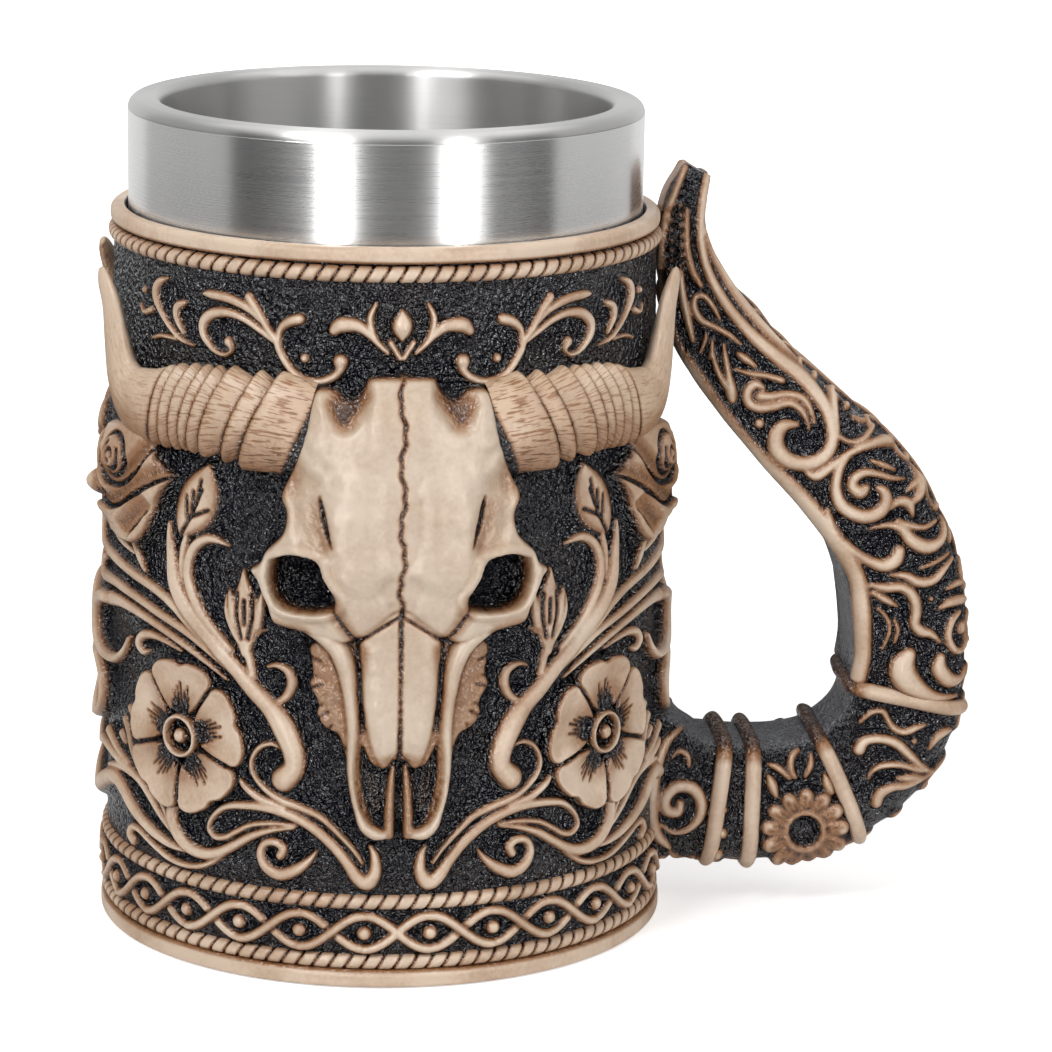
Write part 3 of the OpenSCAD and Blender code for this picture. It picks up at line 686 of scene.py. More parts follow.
LOW_SCROLLS = (
    ((4.5, 24.5, 0.35), (3.8, 22.9, 0.75), (3.7, 20.3, 1.05), (4.9, 18.4, 1.35), (6.6, 19.2, 1.2),
     (8.4, 21.8, 1), (10.6, 24.5, 1), (13.2, 26.8, 1), (15.8, 28.4, 1), (19, 29.5, 0.95),
     (22.7, 30, 0.85), (26.9, 29.7, 0.75), (30, 28.9, 0.65), (32.4, 26.8, 0.55), (33.2, 24.7, 0.55),
     (31.9, 23.4, 0.6), (29.8, 23.7, 0.6), (27.7, 25, 0.55), (24.8, 26.6, 0.5), (20.6, 27.4, 0.45),
     (17, 27.4, 0.3)),
    ((19.7, 40.4, 0.3), (21.6, 41, 0.45), (23.7, 40, 0.5), (25, 37.6, 0.5), (24.5, 35.3, 0.55),
     (22.4, 33.2, 0.65), (19.5, 31.6, 0.75), (15.8, 30.5, 0.75), (12.7, 29.2, 0.7), (10, 26.8, 0.6),
     (7.4, 24, 0.5), (5.8, 21.5, 0.35)),
    ((27.5, 34.5, 0.3), (26, 33, 0.7), (23, 31.3, 0.8), (19, 30.3, 0.6)),
    ((13.4, 23.4, 0.2), (14.5, 21.8, 0.6), (16.6, 20, 1), (19.5, 18.8, 1.15), (21.9, 19.7, 1.05),
     (23.1, 21.8, 0.85), (22.4, 23.7, 0.75), (20.6, 24.2, 0.75), (19.1, 23.3, 0.8), (19.6, 22, 0.85)),
    ((35.5, 28, 0.5), (37.5, 28.4, 0.9), (39.2, 28.8, 1.1), (40.9, 27.4, 1.3), (41.2, 25, 1.4),
     (39.8, 22.4, 1.4), (37.2, 20.6, 1.3), (34, 20.1, 1.1), (31, 20.9, 0.95), (27.9, 22.7, 0.85),
     (24.8, 24.7, 0.75), (21.1, 26.2, 0.55), (17.3, 26.9, 0.3)),
    ((52.6, 17.9, 1), (53.9, 18.8, 1), (53.3, 20.1, 0.8), (51, 20.2, 0.7), (48.5, 19.4, 0.65),
     (45.5, 18.4, 0.65), (42.5, 17.5, 0.65), (39.5, 17.1, 0.6), (36, 17.4, 0.6), (32.9, 18.6, 0.5),
     (29.6, 20.8, 0.25)),
)
SIDE_SCROLLS = (
    ((75.7, 21.5, 1.8), (69.5, 23.9, 1.8), (64.5, 26, 1.7), (60.3, 27.2, 1.6), (56.5, 26.4, 1.6),
     (53, 24.2, 1.5), (49.5, 22.4, 1.3), (45.5, 20.9, 1.1), (41.5, 19.9, 0.8), (37.5, 19.6, 0.4)),
    ((66, 27.8, 0.5), (60, 29.3, 0.8), (55, 29.7, 0.9), (51, 29.1, 0.9), (47.9, 27.3, 0.85),
     (44.8, 24.7, 0.75), (41.8, 22.5, 0.6), (39.3, 20.9, 0.35)),
    ((50, 30.2, 0.4), (47.2, 29.3, 0.6), (45, 27.3, 0.6), (42.5, 24, 0.5), (40.9, 22, 0.3)),
    ((75.7, 29.5, 1), (70, 31.2, 1.1), (64, 31.3, 1.1), (58, 30.6, 1), (53, 29.9, 0.7)),
    ((57.8, 35.6, 0.9), (56.6, 34.3, 0.6)),
    ((56.2, 38.5, 0.9), (55.2, 36.5, 0.7), (53.9, 33.5, 0.6), (52, 31.3, 0.5)),
    ((54.7, 41, 0.7), (53.5, 39.5, 0.6)), ((64.5, 34.3, 1.2), (60, 32.3, 0.8), (55, 31, 0.4)),
)
SIDE_RING = (
    (75.7, 46.2, 1.2), (70.5, 46, 1.2), (66.3, 44.2, 1.2), (65.2, 41.5, 1.2), (66.5, 38.6, 1.2),
    (70, 36.5, 1.2), (75.7, 34.5, 1.2),
)
TOP_SCROLLS = (
    ((0, 109.5, 0.2), (0, 111, 1.2), (0, 112, 1.7), (0, 113, 1.2), (0, 114.5, 0.2)),
    ((1.9, 109.2, 0.5), (0.3, 106.6, 0.5)),
    ((4.3, 115.5, 0.3), (5.3, 113, 0.6), (4.4, 109.8, 0.5), (2.4, 107.7, 0.3)),
    ((11.3, 111, 0.9), (10, 112, 1.35), (7.4, 111.9, 1.1), (5.3, 110.4, 0.7), (3.7, 108.7, 0.5),
     (2.2, 107.3, 0.3)),
    ((10.1, 106, 1.3), (10.3, 104.5, 0.8), (11.8, 103.1, 0.75), (14.2, 102.4, 0.75), (16.9, 102.9, 0.75),
     (19, 104.7, 0.75), (20.6, 107.1, 0.75), (21.3, 108.8, 0.7), (23, 110.9, 0.7), (24.5, 113.2, 0.8),
     (26.3, 115.5, 0.9)),
    ((20.8, 108, 0.5), (20.6, 110.5, 0.65), (19, 112, 0.9), (17.1, 112.6, 1)),
    ((23, 110.9, 0.5), (26, 113.4, 0.8), (30, 114.8, 0.9), (34, 115.1, 0.8), (35.8, 115, 0.3)),
    ((30.1, 107.7, 1), (29.6, 106.4, 0.45), (31.1, 105.4, 0.45), (33.2, 106, 0.6), (35.3, 108.2, 0.85),
     (35.3, 110.5, 1.05), (33.2, 112.1, 1), (30, 112.5, 0.85), (26.9, 111.7, 0.75), (24.2, 110.2, 0.65),
     (21.9, 108.7, 0.5)),
    ((44.6, 116.4, 0.3), (46.8, 115.3, 0.9), (47.3, 113.2, 1), (45.8, 110.5, 0.7), (43.2, 108.2, 0.6),
     (40.6, 106.7, 0.5), (37.9, 106.1, 0.2)),
    ((39.8, 113, 0.5), (41.5, 112.2, 0.9), (41.7, 110.3, 0.8), (40.2, 107.8, 0.4)),
    ((49, 105.8, 0.3), (46, 106.6, 0.4), (42, 106.6, 0.4)),
    ((48.8, 110.6, 0.7), (51.5, 109.8, 0.5), (53, 111, 0.3)),
)
DOTS = ((16.2, 106.2, 1), (51, 113.6, 0.9))
SIDE_BULB = (75.7, 76, 2.8)


def braid(relief):
    """Two strands that weave over and under each other, with a bead in each eye."""
    eyes = range(BRAID_EYES // 2 + 1)
    # The strands that pass over come last, each with a dark line on both sides of its crossing
    for over in (0, 1):
        for k in eyes:
            swing = (-1) ** (k + over)
            us = BRAID_EYE * (k + np.linspace(-0.5, 0.5, 9))
            zs = BRAID_Z + swing * BRAID_SWING * np.sin(math.pi * us / BRAID_EYE)
            strand = [(u, z, BRAID_HALF) for u, z in zip(us, zs)]
            if over and 0 < k < BRAID_EYES // 2:
                relief.cut([(u, z, 1.3 * half) for u, z, half in strand[3:6]], depth=0.7, tone=0.05)
            relief.stroke(strand, lift=0.75 if over else 0.45)
    for k in eyes:
        relief.dot(BRAID_EYE * (k + 0.5), BRAID_Z, BRAID_DOT_R)


def carved_panel():
    """Half the carved ground, from the skull's middle round to the side."""
    relief = Relief((0, PANEL_LOW), (SIDE, PANEL_HIGH), SIDE / PANEL_COLUMNS)
    braid(relief)
    for table, wider in ((STEM, 1.3), (STRANDS, 1.15), (LOW_SCROLLS, 1.25), (SIDE_SCROLLS, 1.2),
                         (TOP_SCROLLS, 1.2)):
        relief.strokes(table, wider=wider)
    relief.strokes(LEAVES, lift=1.5, slope=0.05, power=0.35, wider=1.3)
    for vein in LEAF_VEINS:
        relief.cut([(*point, 0.4) for point in vein], depth=0.4, tone=0.1)
    relief.stroke(SIDE_RING, lift=2.1)
    # The broad end of the lowest strand stands prouder
    relief.stroke(STRANDS[2][6:], lift=1.6, slope=0.9)
    for place in DOTS:
        relief.dot(*place)
    relief.dot(*SIDE_BULB, slope=1.3)
    relief.wash(0.45, passes=8)
    relief.stain()
    relief.height += pebbles(relief.height.shape, seed=3, passes=2, size=0.1) * (relief.height < 0.15)
    return relief


def panel_quarter(name, side, replaces, relief):
    """One quarter of the barrel's skin as a closed slab, to the right of the skull on side 1."""
    u, z, height, paint = relief.laid(side)
    face = on_barrel(u, z, height)
    ends = on_barrel(u[[0, -1]], z[[0, -1]], -PANEL_SUNK)
    index = numbered(*u.shape)
    low, high = index.size + numbered(2, u.shape[1])
    faces = [grid_quads(index), np.stack([low[1:], low[:-1], high[:-1], high[1:]], 1),
             grid_quads(np.stack([low, index[0]])), grid_quads(np.stack([index[-1], high])),
             np.append(index[:, 0], (high[0], low[0]))[None, ::-1],
             np.append(index[:, -1], (high[-1], low[-1]))[None]]
    return make_piece(name, np.concatenate([face, ends]), faces, carved_resin, "black_resin",
                      replaces=replaces, normals=np.concatenate([grid_normals(face), -unit(ends)]),
                      paint=np.concatenate([paint, paint[[0, -1]]]))


all_round(panel_quarter, "carved", "black_resin", None, carved_panel())

# The barrel's core: foot ring, wall, rim bead and the pocket for the liner
CORE_UNDER = 0.5
rim_low = BARREL_H - RIM_BEAD_H
core_profile = rounded_profile((
    (0, 0, 0), (FOOT_R, 0, 0.6), (FOOT_R, FOOT_H, 1.1), (GROUND_FOOT_R - CORE_UNDER, FOOT_H, 0),
    (GROUND_FOOT_R - CORE_UNDER, PANEL_LOW_Z, 0), (GROUND_TOP_R - CORE_UNDER, PANEL_HIGH_Z, 0),
    (GROUND_TOP_R - CORE_UNDER, rim_low, 0), (RIM_BEAD_R, rim_low, 0.9), (RIM_BEAD_R, BARREL_H, 1),
    (POCKET_R, BARREL_H, 0.5), (POCKET_R, FLOOR_T, 0.5), (0, FLOOR_T, 0)))
core_r, core_z = core_profile.T
ring_cream = (core_z < FOOT_H + 0.2) | ((core_z > rim_low - 0.1) & (core_r > POCKET_R + 0.3))
creases = np.minimum(np.abs(core_z - FOOT_H), np.abs(core_z - rim_low))
lathe("barrel_core", core_profile, carved_resin, "black_resin", "tankard", ("barrel",),
      paint=ring_cream * (0.55 + 0.45 * eased(creases / 0.7)))

# Rope borders
ROPE_LEAN = 0.58
ROPE_BACK = 1.9
ROPE_SINK = ROPE_R - ROPE_PROUD
ROPE_GROOVE = 0.24
ROPE_FULL = 1.04
ROPE_CUT = 0.30
ROPE_DARK = 0.92
ROPE_SIDE_PAINTED_SHADE = 0.75
ROPE_PER_TWIST = 9
ROPE_AROUND = 13
ROPES = (("rim", GROUND_TOP_R, 120.15, 108), ("upper", GROUND_FOOT_R, 14.7, 112),
         ("lower", GROUND_FOOT_R, 4.3, 112))


def rope_ring(word, wall_r, z, twists):
    """A twisted cord round the barrel, with its back buried in the wall."""
    middle_r = wall_r - ROPE_SINK
    turn = round_turn(twists * ROPE_PER_TWIST)[:, None]
    bend = np.linspace(-ROPE_BACK, ROPE_BACK, ROPE_AROUND)
    pitch = FULL_TURN * middle_r / twists
    phase = turn * middle_r / pitch - ROPE_LEAN * ROPE_R * np.sin(bend) / pitch
    gap = np.abs(phase - np.round(phase)) * pitch
    groove = np.exp(-(gap / ROPE_GROOVE) ** 2)
    radius = ROPE_R * (ROPE_FULL - ROPE_CUT * groove)
    r = middle_r + radius * np.cos(bend)
    points = np.stack([r * np.sin(turn), -r * np.cos(turn), z + radius * np.sin(bend)], -1)
    quads = grid_quads(numbered(*phase.shape), (0, 1))[:, FLIPPED]
    # Dark between the twists, with painted shade that darkens the cord from its crest down to its sides
    paint = (1 - ROPE_DARK * groove) * (ROPE_SIDE_PAINTED_SHADE + (1 - ROPE_SIDE_PAINTED_SHADE) * np.cos(bend))
    make_piece("rope_" + word, points, [quads], carved_resin, "black_resin", paint=paint)


for rope in ROPES:
    rope_ring(*rope)

# The steer skull, half of it from its middle line

SKULL_FIELD = ((0, 25.25), (26, 105.5), 0.25)
SKULL_RELIEF = 7.6
SKULL_LEVELS = (
    (26.5, 0.4), (33.5, 0.58), (46, 0.76), (59, 0.88), (73, 0.98), (81.5, 1), (94, 0.9), (99.4, 0.78),
    (104, 0.5),
)
SKULL_BACK = (
    (0, 62), (11, 60.6), (13.2, 60), (14.8, 58.5), (14.3, 54.5), (14.8, 52), (13.4, 49), (13.6, 47),
    (12, 44.5), (9.9, 43.4), (8.7, 39), (7.9, 34), (6.8, 29.4), (4.8, 26.5), (2.3, 26.3), (1.6, 29),
    (0, 29.5),
)
FRONTAL = (
    (0, 104.2), (3, 104.2), (5.5, 103.9), (6.6, 102.2), (8.5, 100.6), (10.4, 102), (14.2, 101.6),
    (15.7, 94.6), (17.3, 89.2), (19.2, 84.4), (18.3, 81.2), (18.9, 77.9), (21.3, 75.2), (22.4, 73),
    (24.4, 71.3), (22.8, 69), (21.5, 65.6), (20.2, 62.2), (16.5, 61.2), (12.7, 60.4), (9.4, 59.4),
    (6.5, 60.2), (3.4, 62.4), (0, 64.8),
)
EYE = (
    (19.9, 73.5), (16.4, 74.7), (12.6, 73.8), (11.6, 71.2), (9.9, 67.4), (11, 65.6), (15, 65),
    (18.9, 66.2), (20.3, 70.2),
)
ORBIT = (
    (20.6, 74.4, 0.9), (16.4, 75.6, 1), (12, 74.8, 1), (10.8, 71.6, 0.9), (8.8, 67.8, 0.8),
    (10.2, 65.1, 0.8), (15, 64.5, 0.9), (19.4, 65.7, 0.9), (21.3, 70.2, 0.9),
)
NASAL = (
    (0, 67.5), (3.6, 65.4), (7.2, 62.5), (6.6, 56), (6.3, 50), (5.6, 45), (4.4, 40.6), (3.1, 38.1),
    (1.6, 38.4), (0, 40.6),
)
CHEEK_BAR = (
    (19.5, 63.4, 1.1), (15.5, 62.5, 1.6), (12, 61, 2.2), (9.6, 58.6, 2.3), (8.3, 55, 2.1), (7.6, 50, 1.7),
    (7.3, 46, 1.5), (7.5, 42, 1.2), (7.6, 38, 1), (7.2, 34, 0.9), (6.5, 31, 0.9), (5.4, 28.6, 1.3),
    (3.9, 27.4, 1.5), (2.5, 27.1, 1.1),
)
NOSTRIL = (
    (6.1, 43.5), (6.5, 39), (6.2, 35), (5.5, 31.6), (4.3, 29.2), (2.6, 28), (-1, 28), (-1, 39.5),
    (2.6, 39), (3.8, 38.8), (4.9, 40.6),
)
NOSTRIL_RIBS = (
    ((5.4, 40, 0.4), (4.8, 35, 0.45), (4, 31, 0.35)),
    ((4.2, 37.5, 0.35), (3.6, 33.5, 0.4), (3.3, 30.5, 0.3)),
    ((2.3, 37, 0.35), (2.4, 33, 0.45), (2.4, 29.5, 0.4)),
)
SLOT_BARS = (((1.6, 26.9, 1.2), (1.5, 31, 1.05), (1.3, 35, 0.9), (1, 38.6, 0.6)),)
CHEEK_CRACKS = (
    ((14.4, 57), (12.6, 56.4)), ((14.6, 53.4), (13.4, 53.8)), ((14.6, 51.6), (12.4, 52.4)),
    ((13.3, 48.4), (12.3, 49)), ((13.2, 46.6), (11.4, 47.8)), ((11.4, 44.6), (10.8, 45.6)),
)
# Points, depth and tone
SKULL_CUTS = (
    (((0, 64.6, 0.4), (0, 50, 0.34), (0, 40.4, 0.5)), 0.45, 0.26),
    (((0, 64.8, 0.3), (3.4, 62.5, 0.3), (6.5, 60.3, 0.34)), 0.5, 0.24),
    (((6.5, 60.3, 0.36), (7.9, 61.9, 0.32), (9.2, 64.2, 0.3), (10.2, 66.4, 0.24)), 0.5, 0.24),
    (((6.5, 60.3, 0.3), (6.5, 55, 0.3), (6.2, 50, 0.35), (5.9, 46, 0.4)), 0.5, 0.16),
    (((12.3, 84.8, 0.16), (11.9, 82.6, 0.42), (11.2, 79.6, 0.46), (10.3, 76.4, 0.14)), 0.8, 0.12),
)
# Points, amount and painted shade: darker in the hollows, under the horn and along the edges of the plates
SKULL_SWELLS = (
    (((6, 73, 5), (7.2, 79, 5), (6.4, 86, 4.6)), 0.8, 0),
    (((14.6, 86, 3.6), (13.9, 81, 4.2), (12.6, 76.6, 3)), -0.9, 0.1),
    (((12.9, 83, 1.8), (12.2, 80, 2.2), (11.3, 77, 1.6)), -0.2, 0.16),
    (((20.4, 84.4, 3.4), (19.6, 80.4, 3.4)), 0.3, 0.6), (((12.6, 97.8, 2.4), (13.2, 94, 2.2)), 0.5, 0),
    (((3, 100, 2.6), (3.4, 96, 2.4)), 0.4, 0),
    (((8.2, 102.6, 4.4), (8.5, 99.6, 4), (8.8, 97, 2.6)), -1.1, 0.42),
    (((6.4, 101, 2.2), (7.8, 98.8, 1.6)), -0.4, 0.3), (((10.6, 99.8, 1.9), (9.2, 97.4, 1.5)), -0.4, 0.25),
    (((1.6, 70, 2.4), (0.9, 66, 1.6)), -0.5, 0), (((16.6, 89, 3), (17.6, 86, 3)), -0.3, 0.25),
    (((10.4, 67.4, 2.2), (8.8, 63.6, 1.9), (7, 60.8, 1.6)), -0.3, 0.34),
    (((20, 62.4, 2.2), (15, 61.8, 1.8)), 0, 0.3),
    (((5.8, 59, 1.6), (6.4, 52, 1.3), (5.8, 45, 1.4)), 0, 0.3),
    (((2.6, 39, 2.4), (1.4, 40, 1.8)), 0, 0.3),
)
# The suture down the brow: its ends, its waves (size, pace) and its cuts (half width, depth, tone)
SUTURE_LOW, SUTURE_HIGH = 64.4, 104.4
SUTURE_WAVES = ((0.34, 0.61), (0.16, 1.9))
SUTURE_CUTS = ((0.55, 0.15, 0.68), (0.24, 0.4, 0.28))


def both_sides(half):
    """A half outline closed with its mirror image."""
    return tuple(half) + tuple((-u, z) for u, z in half[::-1] if u > 0)


def carved_skull():
    half = Relief(*SKULL_FIELD)
    zs, shares = np.array(SKULL_LEVELS).T
    full = SKULL_RELIEF * np.interp(half.vs, zs, shares)[:, None]
    half.plate(both_sides(SKULL_BACK), 0.34 * full, 0.08 * full, edge=0.7, reach=4, tone=0.73)
    half.height += pebbles(half.height.shape, seed=5, passes=3, size=0.5) * (half.height > 0.5)
    for crack in CHEEK_CRACKS:
        half.cut([(u, z, 0.24) for u, z in crack], depth=0.3, tone=0.25)
    half.sink(NOSTRIL, floor=0.5, wall=0.7)
    half.strokes(NOSTRIL_RIBS, lift=0.7, tone=0.36)
    half.strokes(SLOT_BARS, lift=1.8, tone=0.78)
    half.plate(both_sides(FRONTAL), 0.70 * full, 0.30 * full, edge=1.5, reach=10)
    half.plate(both_sides(NASAL), 0.50 * full, 0.20 * full, edge=0.9, reach=3.5)
    half.stroke(CHEEK_BAR, lift=2.4, slope=1.2, power=0.55)
    half.sink(EYE, floor=0.6, wall=0.3)
    half.swell(ORBIT + ORBIT[:1], 0.6)
    for points, amount, shade in SKULL_SWELLS:
        half.swell(points, amount, shade)
    for points, depth, tone in SKULL_CUTS:
        half.cut(points, depth, tone)
    relief = doubled(half)
    places = np.linspace(SUTURE_HIGH, SUTURE_LOW, 60)
    wander = sum(size * np.sin(places * pace) for size, pace in SUTURE_WAVES)
    for width, depth, tone in SUTURE_CUTS:
        relief.cut([(u, z, width) for u, z in zip(wander, places)], depth, tone)
    relief.height += pebbles(relief.height.shape, seed=7, passes=9, size=0.22) * (relief.height > 1)
    relief.wash(0.5, passes=8)
    return relief


skull = relief_piece("skull_front_carved", 1, ("skull_front",), carved_skull(), skull_resin)
turned_copy(skull, "skull_back_carved", ("skull_back",))

# The horns, laid along the barrel: u, z, half thickness and lift at each station
HORN = (
    (14.4, 94.2, 8.7, 1.2), (26.9, 95.7, 7.8, 1.4), (37, 96, 7.2, 1.5), (45.6, 94.9, 6.3, 1.7),
    (52.1, 95.4, 5.6, 1.9), (56, 98.9, 4.5, 2.2), (57.5, 104.5, 3.5, 2.8), (58.4, 110, 2.7, 3.4),
    (60.6, 114, 1.9, 4), (61.8, 115.4, 0.9, 4.2),
)
HORN_STEP = 0.35
HORN_FLAT = 0.5
HORN_PROUD = 1.02
HORN_SUNK = 0.5
HORN_AROUND = 72
HORN_GIRTH = 8
COLLARS = (12, 23.9, 27.4, 32.1, 34.7, 36.8, 39.2, 41.6, 43.7)
COLLAR_LEAN = 2.4
COLLAR_STEP = 0.27
COLLAR_GROOVE = 0.33
COLLAR_NIP = 0.05
# The share of a collar where it has the horn's own thickness, and the run that rounds off its end
COLLAR_LEVEL = 0.6
COLLAR_ROUND = 0.9
# Paint: its tone, painted shade underneath, how dark it is in the grooves, a painted shadow at the root
# against the skull, and how light at the tip
HORN_TONE = 0.95
UNDER_PAINTED_SHADE = 0.24
GROOVE_DARK = 0.72
ROOT_PAINTED_SHADOW = 0.8
HORN_ROOT, ROOT_FADE = 16.6, 1.3
TIP_LIGHT = 0.1
TIP_FADE = (50, 8)


def horn(name, side, replaces):
    """One horn with its stepped collars, which lean towards the skull at the top."""
    path = smooth_path(HORN, HORN_STEP)
    spine_u, spine_z, half, lift = (path[:, k:k + 1] for k in range(4))
    ahead = np.gradient(path[:, :2], axis=0)
    ahead[0] = (1, 0)
    ahead = unit(ahead)
    around = round_turn(HORN_AROUND)
    across = np.cos(around)
    place = spine_u + COLLAR_LEAN * across
    step = np.zeros_like(place)
    groove = np.zeros_like(place)
    for first, second in zip(COLLARS, COLLARS[1:]):
        share = (place - first) / (second - first)
        end = np.sqrt(1 - (1 - np.clip((second - place) / COLLAR_ROUND, 0, 1)) ** 2)
        step = np.where((share >= 0) & (share < 1), COLLAR_STEP * (share - COLLAR_LEVEL) * end, step)
        groove = np.maximum(groove, np.exp(-((place - second) / COLLAR_GROOVE) ** 2))
    wide = half * (1 + step - COLLAR_NIP * groove)
    u = spine_u - ahead[:, 1:] * (wide * across)
    z = spine_z + ahead[:, :1] * (wide * across)
    h = np.maximum(lift + HORN_FLAT * wide * np.sin(around) * HORN_PROUD, -HORN_SUNK)
    index = numbered(*u.shape)
    faces = [grid_quads(index, (1,))[:, FLIPPED], index[:1], index[-1:, ::-1]]
    if side < 0:
        faces = [face[:, ::-1] for face in faces]
    # Painted shade on the underside, and next a painted shadow where the horn meets the skull
    paint = HORN_TONE - UNDER_PAINTED_SHADE * np.clip(-across, 0, 1)
    paint = paint * (1 - GROOVE_DARK * groove) * (1 - ROOT_PAINTED_SHADOW * eased((HORN_ROOT - place) / ROOT_FADE))
    paint = paint + TIP_LIGHT * faded(spine_u, *TIP_FADE)
    return make_piece(name, on_barrel(side * u, z, h), faces, horn_resin, "horn_resin", replaces=replaces,
                      paint=np.clip(paint, 0, 1),
                      along=np.broadcast_to(lengths(path[:, :2])[:, None] * MM, u.shape),
                      around=np.broadcast_to(HORN_GIRTH * around * MM, u.shape))


all_round(horn, "horn_carved", "horn_resin", "horn")

# Flowers and roses

RING_STEPS = 24

FLOWER = (39.0, 39.8)
FLOWER_REACH = 14
FLOWER_STEP = 0.2
PETALS = 5
PETAL_TURN = 18
# Half a petal, along and across it
PETAL = ((2.4, 0), (4.5, 3), (7.5, 5.7), (10.3, 7), (12.4, 5.3), (13.1, 1.8), (12.6, 0))
PETAL_RELIEF = 2.7
PETAL_OVERLAP = 0.12
# Dark lines in a petal: how far they fan out and how far they reach
PETAL_LINES = (
    (-0.4, 6.2), (-0.28, 7.6), (-0.16, 8.4), (-0.04, 9.2), (0.09, 7.8), (0.2, 8.8), (0.31, 7), (0.42, 6),
)
PETAL_LINE_IN = 3.6
PETAL_LINE_HALVES = (0.42, 0.16)
PETAL_GAP_R = 10.6
PETAL_GAP_HALVES = (0.3, 0.5)
FLOWER_RING_R = 3.3
FLOWER_RING_HALF = 0.62
FLOWER_HEART_R = 1.65
FLOWER_PAINTED_SHADE_R = 10.5


def carved_flower():
    corners = [[middle + way * FLOWER_REACH for middle in FLOWER] for way in (-1, 1)]
    relief = Relief(*corners, FLOWER_STEP)
    outline = PETAL + tuple((r, -s) for r, s in PETAL[-2:0:-1])
    turns = [math.radians(PETAL_TURN + k * 360 / PETALS) for k in range(PETALS)]
    for k, turn in enumerate(turns):
        places = [polar(FLOWER, math.hypot(r, w), turn + math.atan2(w, r)) for r, w in outline]
        relief.plate(places, PETAL_RELIEF + PETAL_OVERLAP * k, dome=-1.2, edge=0.8, reach=4.2)
    # A soft hollow in the flower's middle, with painted shade that deepens towards its heart
    relief.swell(spot(*FLOWER, FLOWER_PAINTED_SHADE_R), -0.4, shade=0.5)

    def line(ends, halves, **form):
        relief.cut([(*polar(FLOWER, *end), half) for end, half in zip(ends, halves)], **form)

    for turn in turns:
        gap = turn + math.pi / PETALS
        line(((PETAL_LINE_IN, gap), (PETAL_GAP_R, gap)), PETAL_GAP_HALVES, depth=0.5, tone=0.12)
        for fan, r in PETAL_LINES:
            ends = (PETAL_LINE_IN, turn + fan), (r, turn + 0.8 * fan)
            line(ends, PETAL_LINE_HALVES, depth=0.4, tone=0.06)
    ring = [polar(FLOWER, FLOWER_RING_R, a) for a in round_turn(RING_STEPS, closing=1)]
    relief.sink(ring[:-1], floor=1.0, wall=0.5, tone=0.04)
    relief.stroke([(*place, FLOWER_RING_HALF) for place in ring], lift=2.1)
    relief.dot(*FLOWER, FLOWER_HEART_R, lift=1.4, power=0.5)
    relief.wash(0.5, passes=8)
    return relief


ROSE_SEPALS = (
    ((62, 71.6, 1), (58, 70, 1.4), (53, 68.4, 0.6)),
    ((53.4, 70.6, 0.9), (51, 67.8, 0.9), (49.6, 65.8, 0.4)),
)
ROSE_BUD = (
    (39.8, 84), (43.6, 79.2), (45.8, 74.4), (49.4, 71), (54, 70), (59, 71.2), (63.6, 75), (66.6, 80),
    (66, 86), (62, 89.6), (56, 91), (50, 90.8), (46.4, 90.2), (44.6, 88.4), (43.2, 85.8),
)
ROSE_LIPS = (
    ((40.4, 84, 0.5), (44, 82.4, 0.8), (48, 80, 0.9), (52, 77.4, 0.9), (56, 76.2, 0.8), (60, 77.2, 0.7),
     (64, 80.6, 0.5)),
    ((44.4, 89, 0.5), (46.4, 85.8, 0.8), (49, 82.8, 0.9), (52.6, 80.6, 0.9), (57, 80.4, 0.8),
     (60.4, 82.8, 0.7), (61.4, 87, 0.5)),
    ((46, 77.2, 0.3), (48.4, 74.6, 0.6), (51, 72.4, 0.5)),
    ((59.6, 77.2, 0.3), (61.6, 74.8, 0.6), (62, 72.6, 0.4)),
)
ROSE_HEART = (54.6, 85.4)
ROSE_HEART_R = 4.6
# Curls in the heart: radius and first angle
ROSE_CURLS = ((3.6, 0.4), (2.3, 2.6), (1, 4.6))
ROSE_CURL_LONG = 4.8
ROSE_CURL_HALF = 0.42
ROSE_FIELD = ((39, 64), (70, 92), 0.2)


def carved_rose():
    relief = Relief(*ROSE_FIELD)
    relief.strokes(ROSE_SEPALS, lift=1.2, slope=0.6)
    relief.plate(ROSE_BUD, 2.9, dome=2.0, edge=1.2, reach=8, tone=0.93)
    # Under each lip's line the petal swells out, and above it the next one falls back into painted shade
    for lip in ROSE_LIPS:
        relief.swell([(u - 0.5, z - 1.3, 1.5) for u, z, _ in lip], 0.5)
        relief.swell([(u + 0.8, z + 1.4, 2.1) for u, z, _ in lip], -0.7, shade=0.4)
        relief.cut([(u, z, 0.6 * half) for u, z, half in lip], depth=0.9, tone=0.22)
    relief.swell(spot(*ROSE_HEART, ROSE_HEART_R), 1.1)
    for r, first in ROSE_CURLS:
        turns = np.linspace(first, first + ROSE_CURL_LONG, 12)
        curl = [(*polar(ROSE_HEART, r, turn), ROSE_CURL_HALF) for turn in turns]
        relief.cut(curl, depth=0.8, tone=0.25)
    relief.wash(0.6, passes=8)
    return relief


for word, form in (("flower", carved_flower()), ("rose", carved_rose())):
    all_round(relief_piece, word + "_carved", "bone_resin", word, form, carved_resin)

# The horn-shaped handle: x, z, half width in its plane and half depth across it, at each station

